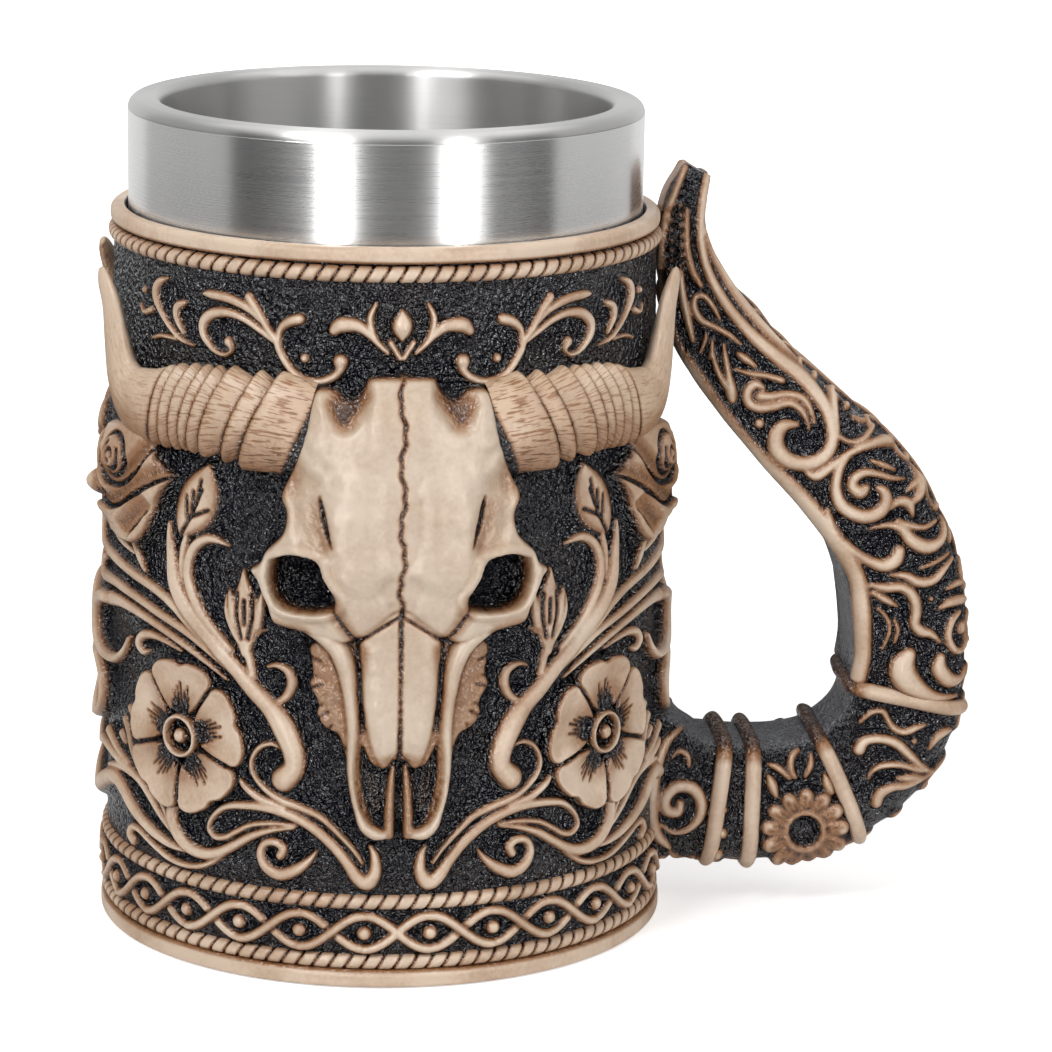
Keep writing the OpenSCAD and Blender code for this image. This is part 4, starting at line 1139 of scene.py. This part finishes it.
HANDLE = (
    (46.2, 20.9, 14.6, 11.4), (48.1, 20.8, 14.5, 11.4), (51.2, 20.2, 12.2, 10.9),
    (54.3, 19.5, 11.1, 10.7), (57, 19.2, 11, 10.6), (63.2, 18.6, 11, 10.6), (72, 18.9, 10.9, 10.6),
    (80, 21.2, 10.6, 10.6), (87.1, 26.5, 10.4, 10.6), (91.1, 33.1, 10.2, 10.6), (92.4, 41, 10.2, 10.6),
    (92.4, 50, 10.2, 10.6), (90.6, 59.9, 10.2, 10.6), (86.5, 69.7, 9.9, 10.4), (80, 78.4, 9.4, 10),
    (71.6, 86.5, 8.4, 9), (63.9, 94.5, 7.65, 7.8), (57.3, 102.9, 7, 6.4), (53.1, 110.9, 5.6, 5.3),
    (51.1, 118.8, 4.4, 4.7), (51.2, 125, 3.8, 3.8), (52.7, 129.4, 2.9, 2.9), (53.3, 130.6, 2.3, 2.3),
)
INNER_POWER = 0.36
OUTER_POWER = 0.55
AROUND_HANDLE = 270
SECTION_POINTS = 20001
HANDLE_STEP = 0.3
# Fades from one face to the next, as start and length in the section
SIDE_FACE = (0.5, 0.22)
SIDE_EDGE = (-0.995, 0.05)
OUTER_FACE = (0.62, 0.2)
OUTER_EDGE = (-0.9, 0.2)
FINGER_SIDE = (0.9, 0.08)
# Fades along the handle, back from its tip
OUTER_END, OUTER_FADE = 22, 10
NECK_LONG, NECK_FADE = 26, 6
NECK_TONE = 0.84

handle_path = smooth_path(HANDLE, HANDLE_STEP)
handle_ahead = unit(np.gradient(handle_path[:, :2], axis=0))
handle_run = lengths(handle_path[:, :2])


def handle_section(count):
    """Points evenly round the handle's section: -1 is the finger side and 1 the outer side."""
    a = np.linspace(0, FULL_TURN, SECTION_POINTS)
    c, s = np.cos(a), np.sin(a)
    power = np.where(c < 0, INNER_POWER, OUTER_POWER)
    curve = np.stack([np.sign(c) * np.abs(c) ** power, np.sign(s) * np.abs(s) ** power], 1)
    run = lengths(curve)
    places = run[-1] * np.arange(count) / count
    return np.interp(places, run, curve[:, 0]), np.interp(places, run, curve[:, 1])


across, deep = handle_section(AROUND_HANDLE)


def handle_points(run, grow):
    """Points round the handle at a run along it, on its section or standing proud of it."""
    x, z, half, depth = (np.interp(run, handle_run, handle_path[:, k]) for k in range(4))
    ahead_x, ahead_z = (np.interp(run, handle_run, handle_ahead[:, k]) for k in range(2))
    w = across * (half + grow)
    return np.stack([x + ahead_z * w, deep * (depth + grow), z - ahead_x * w], -1)


def sampled(relief, field, u, v):
    """A field's values at any points, and those of its edge outside it."""
    x = np.clip((u - relief.low[0]) / relief.step, 0, len(relief.us) - 1.001)
    y = np.clip((v - relief.low[1]) / relief.step, 0, len(relief.vs) - 1.001)
    i, j = x.astype(int), y.astype(int)
    fx, fy = x - i, y - j
    low, high = (field[k, i] * (1 - fx) + field[k, i + 1] * fx for k in (j, j + 1))
    return low * (1 - fy) + high * fy


# Strokes on the handle's sides: x, z and half width
HANDLE_BEADING = (
    ((83.4, 42, 1.2), (84, 46, 1.2), (83.9, 50, 1.3), (83.4, 55, 1.4), (82.4, 60.3, 1.4), (80.6, 64, 1.4),
     (78.1, 67.8, 1.4), (75.2, 71.4, 1.4), (72, 75, 1.4), (68.4, 78.5, 1.4), (65.2, 81.5, 1.4),
     (62.5, 84.2, 1.4), (59.5, 87.8, 1.4), (56.7, 91.3, 1.4), (54.5, 94.4, 1.4), (52, 97.8, 1.35),
     (50, 101, 1.25), (48.9, 105, 1), (48.6, 110, 0.7)),
    ((55, 131, 0.6), (54, 126, 0.7), (53.6, 121, 0.7), (54, 117, 0.75), (55.5, 112.5, 0.85),
     (58.5, 107.5, 0.95), (62.5, 102.8, 1.05), (67, 98.7, 1.15), (71.5, 95, 1.2), (75, 91, 1.15),
     (76.5, 88, 1.15), (77, 85, 1.2), (76, 82.3, 1.3), (73.3, 80.7, 1.4), (70, 81, 1.45), (67.7, 83, 1.5),
     (67.3, 85.5, 1.5), (68.6, 87.2, 1.2), (70.8, 87.4, 0.6)),
    ((51.2, 131, 0.5), (49.6, 127.5, 0.6), (48.2, 123.5, 0.6), (47.4, 119, 0.55), (47.4, 114, 0.5)),
    ((54.2, 121, 0.3), (55.6, 116.5, 0.5), (57.6, 112.8, 0.7), (60.5, 108.5, 0.8), (64.5, 103.8, 0.85),
     (69, 99.7, 0.9), (73.5, 96.5, 1), (76.5, 93.8, 1.1), (77.2, 90, 0.8), (77.9, 86, 0.5)),
)
HANDLE_SCROLLS = (
    ((53, 109.2, 0.4), (52.8, 107.4, 0.65), (54, 105.2, 0.65), (56.4, 104, 0.55), (59, 102.6, 0.5),
     (61, 101, 0.25)),
    ((53, 109.2, 0.4), (54.6, 109.2, 0.5), (56.4, 107, 0.45), (57.4, 105, 0.25)),
    ((50.4, 113.4, 0.5), (50.8, 109.5, 0.7), (51.8, 105.4, 0.7), (52.8, 101.6, 0.4)),
    ((54, 99.4, 0.25), (54.8, 101.6, 0.35), (55, 103, 0.25)),
    ((55.6, 98.6, 0.25), (56, 100.4, 0.35), (56, 102, 0.25)),
    ((56, 101, 0.25), (56.5, 98, 0.45), (57.5, 95.6, 0.5), (58.8, 93.4, 0.5)),
    ((58, 101.2, 0.25), (58.4, 98.6, 0.5), (58.9, 96, 0.6), (59.5, 93, 0.95), (59.8, 91.4, 0.6)),
    ((60.4, 99.5, 0.3), (61.8, 98.6, 0.7), (63.7, 97.2, 0.3)),
    ((59.9, 96.8, 0.25), (62.5, 96.1, 0.5), (65.5, 95.7, 0.55), (68.2, 94.9, 0.6)),
    ((65, 93.6, 0.4), (63.6, 94.3, 0.8), (62.3, 93.2, 0.9), (62.4, 91.2, 0.9), (64.2, 90.2, 0.9),
     (66.8, 90.5, 0.85), (69.4, 91.1, 0.75), (71.4, 90, 0.65), (72.6, 88, 0.4), (73, 86.4, 0.2)),
    ((64.4, 92.2, 0.9), (66.4, 92.2, 0.8), (69, 92.6, 0.7), (71.4, 92, 0.65), (73, 90.2, 0.5),
     (73.9, 87.6, 0.3)),
    ((72.4, 79.2, 0.3), (74.4, 78.5, 0.9), (77, 80.2, 0.8), (79.6, 82.2, 0.7), (82.5, 83.5, 0.75),
     (86, 83.9, 0.9), (89, 82.8, 1), (91.4, 80, 1), (92.6, 77, 1.05), (92.3, 74.6, 0.9), (91, 73.6, 0.3)),
    ((80, 82.2, 0.5), (78.4, 79.8, 0.8), (77.8, 76.6, 0.95), (78.6, 73.8, 1.1), (80.6, 72.1, 1.2),
     (83.2, 71.4, 1.25), (85.6, 72.3, 1.25), (86.6, 74.2, 1.1), (86.2, 75.8, 0.9), (85.2, 76.4, 0.6)),
    ((90, 77.6, 0.25), (87.4, 78, 0.5), (85, 78.8, 0.6), (82.6, 79.1, 0.8), (80.9, 78, 0.9),
     (80.7, 76.6, 0.95), (82, 75.7, 1.2), (83, 76.4, 0.8)),
    ((83.6, 81.2, 0.25), (85.8, 80.3, 0.5), (88.2, 79.2, 0.25)), ((90.2, 75.6, 0.3), (91.4, 76.6, 0.7)),
    ((77.5, 86, 0.3), (79.5, 84.5, 0.4), (82, 84.6, 0.5), (84, 86.2, 0.6), (85, 87.8, 0.3)),
    ((80.4, 88.4, 0.25), (82.2, 87.4, 0.4), (84, 87.6, 0.25)),
    ((74, 96.4, 0.6), (76.2, 94.4, 1.1), (78.4, 92.4, 1.2), (80.6, 90.4, 0.7)),
    ((87.4, 72.7, 0.3), (88.9, 74, 0.85), (90.6, 73.4, 0.85), (91.5, 71.2, 0.25)),
    ((83.8, 69.1, 0.25), (87, 69.8, 0.55), (89.4, 69.2, 0.85), (91.4, 67, 1.2), (94, 65.8, 1.2),
     (96.2, 66.5, 0.9), (97, 68.2, 0.6), (96.6, 70.6, 0.3)),
    ((88.6, 70.8, 0.3), (91, 69.7, 0.55), (93.4, 69.2, 0.5), (95.6, 70, 0.35)),
    ((76.6, 72.6, 0.3), (77.5, 70, 0.6), (79, 67.6, 0.7), (81.4, 65.2, 0.8), (84, 63.5, 0.95),
     (86.5, 62.7, 1.2), (88.5, 63.6, 1.3), (89.2, 65.2, 1.05)),
    ((87.6, 60.9, 0.25), (90.4, 60.8, 0.7), (93, 59.6, 0.9), (95.5, 60, 0.8), (97.4, 62, 0.6),
     (98.8, 63.3, 0.35)),
    ((93, 62, 0.25), (95.6, 63, 0.4), (98.2, 64.3, 0.3)),
    ((83.9, 59.3, 0.35), (87, 58.7, 0.85), (90, 58.7, 0.9), (92, 57, 1), (92.6, 54.5, 1),
     (92.4, 52.2, 0.95), (93.6, 50.8, 1), (95.3, 50.3, 0.7), (97.2, 48.6, 0.25)),
    ((84.8, 57.8, 0.4), (87, 56.6, 0.7), (89.4, 55.2, 0.25)),
    ((85.8, 55, 0.25), (87.6, 53, 0.35), (88, 50.4, 0.35), (86.8, 47.4, 0.25)),
    ((88.8, 53, 0.25), (89.5, 51, 0.4), (89, 48.6, 0.25)),
    ((96.4, 54.6, 0.25), (98.5, 55.8, 0.9), (100.8, 55.7, 0.8), (102, 55, 0.4)),
    ((97.8, 58.1, 0.3), (99.8, 58.8, 0.6), (101, 58.2, 0.3)), ((100.6, 51.4, 0.7), (100.6, 50.4, 0.7)),
    ((100.2, 53.8, 0.5), (98.8, 52.2, 0.7), (98.4, 49.6, 0.7), (99.4, 47.3, 0.7), (101, 46.8, 0.5),
     (102, 49, 0.45), (101.6, 52, 0.4)),
    ((91.6, 46.6, 1.2), (90.4, 44.4, 2.2), (91.4, 42, 2.2), (94, 39.9, 1.5), (97, 38.7, 0.9),
     (100.4, 38.7, 0.4)),
    ((97.2, 46, 0.8), (97, 43.9, 1.35), (98.8, 41.7, 1.3), (101, 41.9, 0.6), (101.9, 43.6, 0.25)),
    ((83.4, 29.4, 1.1), (84.4, 30.9, 0.9), (87, 31.3, 0.85), (90, 30.4, 0.9), (92.4, 28.2, 0.8),
     (94.4, 26.4, 0.5), (95.8, 25.7, 0.25)),
    ((85.2, 23.8, 0.25), (86, 25.4, 0.4), (88, 26.4, 0.6), (91, 26.4, 0.6), (94, 25.5, 0.55),
     (97.6, 24.8, 0.25)),
    ((90.2, 24, 0.25), (92.4, 24.1, 0.7), (94.6, 24.3, 0.25)),
    ((86.8, 19.6, 1), (87.4, 21.3, 1), (89.6, 22.4, 0.8), (92, 22.6, 0.7), (95, 23.8, 0.5),
     (97.6, 25, 0.25)),
    ((83.4, 34, 0.25), (85.4, 36, 0.5), (87.3, 36.3, 0.5), (88.2, 35, 0.5), (89.3, 33.3, 0.6),
     (91.4, 32.5, 0.7), (93.6, 33.3, 0.6), (95.2, 33.7, 0.25)),
    ((95.8, 29, 0.25), (97, 31.2, 0.7), (98.5, 32.3, 0.75), (99.8, 32.4, 0.3)),
    ((67.4, 24.8, 0.25), (68.2, 23, 0.9), (69, 20.8, 0.4)),
    ((67.4, 26.6, 0.25), (69.4, 25.8, 0.6), (71.3, 24, 0.35)),
    ((73, 28.7, 0.3), (71.7, 27.8, 0.6), (71.4, 26, 0.6), (72.3, 24.2, 0.35)),
    ((75, 28.4, 0.25), (74.9, 26.5, 0.6), (74, 24.4, 0.35)),
    ((77.4, 25, 0.25), (78, 23, 0.9), (79, 21.4, 0.35)),
)
HANDLE_RIB = ((51.4, 124, 0.5), (51.4, 118, 0.8), (52.3, 114, 0.9), (54, 111, 0.6))
HANDLE_FOOT = (
    ((52.4, 33.2, 0.3), (49.6, 31.6, 0.7), (47.8, 28, 1.1), (46.9, 23, 1.2), (46.8, 18, 1.2),
     (47.6, 14.6, 1.1), (49.4, 12.6, 0.8), (50.6, 11.4, 0.3)),
    ((48.4, 16.4, 0.3), (50.4, 14.7, 0.5), (53, 14.9, 0.7), (55.2, 17, 0.95), (55.6, 20, 1.1),
     (54, 22.6, 1.2), (51, 23, 1.2), (49, 21, 1.2), (49.4, 18.8, 1.1), (51.4, 18.3, 1),
     (51.8, 19.8, 0.9)),
    ((50, 28, 0.25), (51.4, 29.4, 0.4), (53, 28.4, 0.5), (53.4, 26.4, 0.3)),
    ((50.4, 10.8, 0.3), (51.6, 9.6, 0.6), (53.6, 8.6, 0.8), (55, 9.4, 0.5)),
)
HANDLE_DOTS = (
    (64.4, 87.5, 1.15), (95.2, 56.5, 0.65), (93.2, 30.7, 0.7), (59.7, 18.5, 0.9), (59.6, 14.2, 1.2),
    (59, 10.2, 1.4),
)
SUNFLOWER = (74.2, 14.6)
SUNFLOWER_RING_R = 3.3
SUNFLOWER_HEART_R = 2.2
SUNFLOWER_PETALS = 13
# A petal's stations and its two dark lines
SUNFLOWER_PETAL = ((3.4, 0.95), (5.2, 1.55), (6.5, 1.75))
SUNFLOWER_LINES = ((-0.09, 5.6), (0.06, 6.4))
SUNFLOWER_LINE_IN = 3.6
SUNFLOWER_LINE_HALF = 0.24
SUNFLOWER_RING_HALF = 0.55
# The fields of the handle's side and of one leaf of its outer face
CARVED_STEP = 0.28
SIDE_FIELD = ((42, 2), (108, 134), CARVED_STEP)
OUTER_LEAF = 21.0
OUTER_FIELD = ((0, 0), (OUTER_LEAF, 9), CARVED_STEP)
# One leaf's scrolls: along the outer face, across it and half width
OUTER_SCROLLS = (
    ((1, 0.4, 0.5), (6, 0.6, 1), (11, 1.8, 1), (14.6, 4.4, 0.9), (13.6, 7, 0.9), (11, 6.6, 0.8),
     (10.9, 4.9, 1)),
    ((4, 1.6, 0.3), (6.6, 4.2, 0.9), (5.6, 7.6, 0.8), (3, 8, 0.7), (2.8, 6.2, 0.9)),
    ((12.6, 2.4, 0.3), (17, 2.6, 0.9), (19.6, 5, 0.7), (18.6, 7.6, 0.9)),
    ((15.4, 0.3, 0.5), (18.6, 0.2, 1), (21.6, 0.3, 0.5)),
)
# Rows of small beads up the neck
BEAD_ROWS = (48.6, 50.2)
BEADS = 8
BEAD_PITCH = 1.7
BEAD_LOW = 112
BEAD_R = 0.8
BEAD_SWAY = 0.2


def sunflower(relief):
    for a in round_turn(SUNFLOWER_PETALS) + math.pi / 2:
        relief.stroke([(*polar(SUNFLOWER, r, a), half) for r, half in SUNFLOWER_PETAL], power=0.5)
        for turn, reach in SUNFLOWER_LINES:
            ends = [polar(SUNFLOWER, r, a + turn) for r in (SUNFLOWER_LINE_IN, reach)]
            relief.cut([(*end, SUNFLOWER_LINE_HALF) for end in ends], depth=0.3, tone=0.2)
    ring = [polar(SUNFLOWER, SUNFLOWER_RING_R, a) for a in round_turn(RING_STEPS, closing=1)]
    relief.stroke([(*place, SUNFLOWER_RING_HALF) for place in ring], lift=1.3)
    relief.dot(*SUNFLOWER, SUNFLOWER_HEART_R, lift=0.4, slope=0.4, tone=0.12)


def carved_sides():
    """The handle's side, the same on its front and back."""
    relief = Relief(*SIDE_FIELD)
    sunflower(relief)
    relief.strokes(HANDLE_BEADING, lift=0.55, slope=0.55, wider=1.2)
    relief.strokes(HANDLE_SCROLLS, lift=0.75, slope=0.55, power=0.8, wider=1.32)
    relief.stroke(HANDLE_RIB, lift=0.5, tone=0.85)
    relief.strokes(HANDLE_FOOT, lift=0.6, slope=0.55, wider=1.25)
    for place in HANDLE_DOTS:
        relief.dot(*place, lift=0.5, slope=0.6)
    for row, x in enumerate(BEAD_ROWS):
        for k in range(BEADS):
            z = BEAD_LOW + BEAD_PITCH * k + BEAD_PITCH / 2 * row
            relief.dot(x + BEAD_SWAY * math.sin(k * 0.5), z, BEAD_R, lift=0.6, tone=0.5)
    relief.wash(0.45, passes=7)
    relief.stain()
    return relief


def carved_outer():
    """The handle's outer face, along and across it: pairs of scroll leaves that repeat."""
    relief = Relief(*OUTER_FIELD)
    for shift in (-OUTER_LEAF, 0, OUTER_LEAF):
        for points in OUTER_SCROLLS:
            relief.stroke([(u + shift, v, half) for u, v, half in points], lift=0.5, slope=0.55)
    relief.wash(0.4, passes=7)
    return relief


def handle():
    """The carved horn, with its finger side left plain and its foot let into the wall."""
    sides, outer = carved_sides(), carved_outer()
    run = handle_run[:, None]
    bare = handle_points(run, 0)
    x, y, z = np.moveaxis(bare, -1, 0)
    normals = unit(np.cross(np.roll(bare, -1, 1) - np.roll(bare, 1, 1), np.gradient(bare, axis=0)))
    on_side = faded(np.abs(deep), *SIDE_FACE) * faded(across, *SIDE_EDGE)
    on_outer = faded(across, *OUTER_FACE) * faded(-np.abs(deep), *OUTER_EDGE)
    fade = eased((handle_run[-1] - OUTER_END - run) / OUTER_FADE)
    wrapped = np.broadcast_to(run % OUTER_LEAF, x.shape)
    rise = np.zeros_like(x)
    paint = np.zeros_like(x)
    for relief, weight, u, v in ((sides, on_side, x, z), (outer, on_outer * fade, wrapped, np.abs(y))):
        rise = np.maximum(rise, weight * sampled(relief, relief.height, u, v))
        paint = np.maximum(paint, weight * sampled(relief, relief.paint, u, v))
    # The finger side is plain grey up to the neck, where its edge is bone-coloured again
    inner = faded(-across, *FINGER_SIDE)
    neck = eased((run - handle_run[-1] + NECK_LONG) / NECK_FADE)
    paint = np.maximum(paint, NECK_TONE * inner * neck)
    index = numbered(*x.shape)
    faces = [grid_quads(index, (1,)), index[:1, ::-1], index[-1:]]
    make_piece("handle_carved", bare + normals * rise[..., None], faces, handle_resin, "handle_resin",
               replaces=("handle",), paint=paint, bare=inner * (1 - neck))


handle()

# Clasping bands on the handle: name, station, how far past it, and lean in band widths
BAND_W = 3.4
BAND_T = 1.5
BANDS = (
    ("foot", (57, 19.2), 0.5, 0), ("lower", (63.2, 18.6), 0.47, 0), ("bend", (80, 21.2), 0.32, 0.32),
    ("grip", (92.1, 38.3), 0, 0.32),
)
# How far round a band's section goes, in quarter turns to each side
BAND_ROUND = 1.25
BAND_STEPS = 15
# Half its width and its height as shares of the solid band's, and bumps round it
BAND_HALF = 0.44
BAND_PROUD = 0.8
BAND_BUMP = 0.1
BAND_BUMPS = 9
# Paint: its tone in the creases, where brown wash and painted shade darken its sides down to the handle,
# and how dark it is on the finger side
BAND_CREASE_SHADE = 0.4
BAND_CREST = 1.7
BAND_FINGER_DARK = 0.6
BAND_FINGER_SIDE = (0.62, 0.34)


def band(word, station, past, lean):
    nearest = np.argmin(((handle_path[:, :2] - station) ** 2).sum(1))
    bends = np.linspace(-BAND_ROUND, BAND_ROUND, BAND_STEPS)[:, None] * math.pi / 2
    middle = handle_run[nearest] + BAND_W * (past - lean * across)
    before, after = (handle_points(middle + step, 0) for step in (-1, 1))
    stretch = np.linalg.norm(after - before, axis=-1) / 2
    run = middle + BAND_HALF * BAND_W * np.sin(bends / BAND_ROUND) / stretch
    crown = np.cos(bends / BAND_ROUND)
    wobble = BAND_BUMP * np.sin(BAND_BUMPS * np.arctan2(deep, across))
    grow = BAND_PROUD * BAND_T * (np.cos(bends) + wobble * crown) + 2 * GLUE_GAP
    # Brown wash with painted shade darkens the band's sides towards the handle
    paint = BAND_CREASE_SHADE + (1 - BAND_CREASE_SHADE) * eased(crown * BAND_CREST)
    paint = paint * (1 - BAND_FINGER_DARK * faded(-across, *BAND_FINGER_SIDE))
    quads = grid_quads(numbered(*run.shape), (0, 1))
    make_piece(f"handle_band_{word}_rounded", handle_points(run, grow), [quads], carved_resin,
               "bone_resin", replaces=(f"handle_band_{word}",), paint=paint)


for place in BANDS:
    band(*place)

# The steel liner: a cup with a rolled lip inside a shell
LINER_R = LINER_HIGH.x
LINER_FOOT = LINER_LOW.z
SHEET_T = 0.8
LIP_W = 5.6
LIP_ROUND = 1.8
LIP_SEAM = 0.05
CUP_CORNER = 7.0
BASE_SPACE = 5.0
LINER_STEPS = 10
cup_r = LINER_R - LIP_W
cup_floor = LINER_FOOT + BASE_SPACE + SHEET_T
lip_under = LIP_HIGH - LIP_ROUND
shell_top = lip_under - LIP_SEAM
cup_profile = rounded_profile((
    (0, cup_floor, 0), (cup_r + SHEET_T, cup_floor, CUP_CORNER + SHEET_T),
    (cup_r + SHEET_T, lip_under, 0.4), (LINER_R, lip_under, 0), (LINER_R, LIP_HIGH, LIP_ROUND - LIP_SEAM),
    (cup_r, LIP_HIGH, 1.5), (cup_r, cup_floor + SHEET_T, CUP_CORNER),
    (0, cup_floor + SHEET_T, 0)), LINER_STEPS)
shell_profile = rounded_profile((
    (0, LINER_FOOT, 0), (LINER_R, LINER_FOOT, 1.2), (LINER_R, shell_top, 0),
    (LINER_R - SHEET_T, shell_top, 0), (LINER_R - SHEET_T, LINER_FOOT + SHEET_T, 0.5),
    (0, LINER_FOOT + SHEET_T, 0)), LINER_STEPS)
lathe("liner_cup_brushed", cup_profile, cup_steel_with_painted_shade, "steel", "liner", ("liner_cup",))
lathe("liner_shell_brushed", shell_profile, liner_steel, "steel", "liner", ("liner_shell", "liner_base"))

# Studio: a white surround, a pale floor, soft lamps, and cards that only glossy surfaces mirror

scene.view_settings.view_transform = "Standard"

AMBIENT = 0.22
world = Shader(bpy.data.worlds.new("white_surround"), "Background")
rays = world.add("LightPath").outputs
seen = rays["Is Camera Ray"]
for other in ("Is Glossy Ray", "Is Transmission Ray"):
    seen = world.math("MAXIMUM", seen, rays[other])
scene.world = world.finish(Color=(1, 1, 1, 1), Strength=world.between(seen, AMBIENT, 1))


def staged(name, points, faces, material):
    """A mesh of the studio, which is no part of the tankard."""
    mesh = bpy.data.meshes.new(name)
    mesh.from_pydata(points, [], faces)
    mesh.materials.append(material)
    obj = bpy.data.objects.new(name, mesh)
    scene.collection.objects.link(obj)
    obj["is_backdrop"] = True
    return obj


FLOOR_REACH = 4.0
FLOOR_DROP = 0.0002
FLOOR_MOTTLE = (40, 2)
FLOOR_STOPS = ((0, (0.9, 0.9, 0.9)), (1, (0.93, 0.93, 0.93)))
# The floor's own glow near the tankard and far from it, and where it changes
FLOOR_GLOW = (0.55, 0.86)
GLOW_NEAR, GLOW_FAR = 0.15, 1.2


def floor():
    s = Shader(bpy.data.materials.new("pale_floor"))
    away = s.add("VectorMath", operation="LENGTH", Vector=s.place()).outputs["Value"]
    glow = s.between(away, *FLOOR_GLOW, From_Min=GLOW_NEAR, From_Max=GLOW_FAR)
    lit = s.math("MULTIPLY", s.add("LightPath").outputs["Is Camera Ray"], glow)
    s.finish(Base_Color=s.ramp(s.noise(s.place(), *FLOOR_MOTTLE), FLOOR_STOPS), Roughness=0.6,
             Emission_Color=(1, 1, 1, 1), Emission_Strength=lit)
    corners = ((-1, -1), (1, -1), (1, 1), (-1, 1))
    points = [(FLOOR_REACH * x, FLOOR_REACH * y, 0) for x, y in corners]
    staged("floor", points, [(0, 1, 2, 3)], s.owner).location.z = -FLOOR_DROP


floor()

# Square lamps: name, place, size and power
MIDDLE = (0.02, 0, 0.07)
LAMPS = (("key", (-0.6, -0.7, 0.95), 0.4, 8.4), ("fill", (0.75, -0.55, 0.45), 0.4, 2.8),
         ("top", (0, 0.15, 1.1), 1.6, 3.2), ("rear", (0.2, 0.9, 0.7), 1.4, 2.7))
for name, place, size, power in LAMPS:
    light = bpy.data.lights.new(name, "AREA")
    light.shape = "SQUARE"
    light.size = size
    light.energy = power
    lamp = bpy.data.objects.new(name, light)
    lamp.location = place
    lamp.rotation_euler = (Vector(MIDDLE) - Vector(place)).to_track_quat("-Z", "Y").to_euler()
    scene.collection.objects.link(lamp)

# The mirrored cards stand in a ring: first and last azimuth from the camera's side in degrees, brightness,
# foot and top. Low on the sides and behind they are dark, which keeps the black ground dark at its edges.
CARD_R = 0.2
CARD_LOW = -0.02
CARD_SPLIT = 0.086
CARD_HIGH = 0.24
SIDE_HIGH = 0.3
BACK_HIGH = 0.36
CARD_BAYS = 8
FRONT_CARDS = ((-68, -31, 0.08), (-31, -26, 1.2), (-26, -21, 16), (-21, -16, 1.2), (-16, 17, 0.14),
               (17, 23, 1.1), (23, 28, 14), (28, 36, 1.1), (36, 68, 0.07))
CARDS = (*((*card, CARD_LOW, CARD_HIGH) for card in FRONT_CARDS),
         (68, 125, 0.72, CARD_SPLIT, SIDE_HIGH), (125, 235, 0.86, CARD_SPLIT, BACK_HIGH),
         (235, 292, 0.58, CARD_SPLIT, SIDE_HIGH), (69, 291, 0.06, CARD_LOW, CARD_SPLIT))
for first, last, bright, low, high in CARDS:
    s = Shader(bpy.data.materials.new(f"card_{first % 360}"), "Material Output")
    s.finish(Surface=s.add("Emission", Color=(bright, bright, bright, 1)).outputs["Emission"])
    angles = [math.radians(first + (last - first) * k / CARD_BAYS) for k in range(CARD_BAYS + 1)]
    ring = [(CARD_R * math.sin(a), -CARD_R * math.cos(a)) for a in angles]
    points = [(x, y, z) for z in (low, high) for x, y in ring]
    bays = [(k, k + 1, k + CARD_BAYS + 2, k + CARD_BAYS + 1) for k in range(CARD_BAYS)]
    card = staged(s.owner.name, points, bays, s.owner)
    card.visible_camera = card.visible_diffuse = card.visible_shadow = False

# The camera, as it stood for the photograph: turned a little about the tankard, pitched, rolled and swung
FRAME_PX = 1052
FOCAL_PX = 4253.578
SENSOR_MM = 36.0
CAMERA_BACK = 0.72192
CAMERA_UP = 0.24022
CAMERA_TURN = math.radians(-3.4)
PITCH, ROLL, YAW = 0.2344, 0.0168, 0.03448

forward = Vector((math.sin(YAW) * math.cos(PITCH), math.cos(YAW) * math.cos(PITCH), -math.sin(PITCH)))
up = Vector((math.sin(YAW) * math.sin(PITCH), math.cos(YAW) * math.sin(PITCH), math.cos(PITCH)))
right = forward.cross(up)
right, up = math.cos(ROLL) * right + math.sin(ROLL) * up, math.cos(ROLL) * up - math.sin(ROLL) * right
turn = Matrix.Rotation(CAMERA_TURN, 4, "Z")
pose = Matrix((right, up, -forward)).transposed().to_4x4()
pose.translation = (0, -CAMERA_BACK, CAMERA_UP)
lens = bpy.data.cameras.new("photo_camera")
lens.sensor_width = SENSOR_MM
lens.lens = FOCAL_PX / FRAME_PX * SENSOR_MM
camera = bpy.data.objects.new("photo_camera", lens)
camera.matrix_world = turn @ pose
scene.collection.objects.link(camera)
scene.camera = camera

low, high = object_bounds()
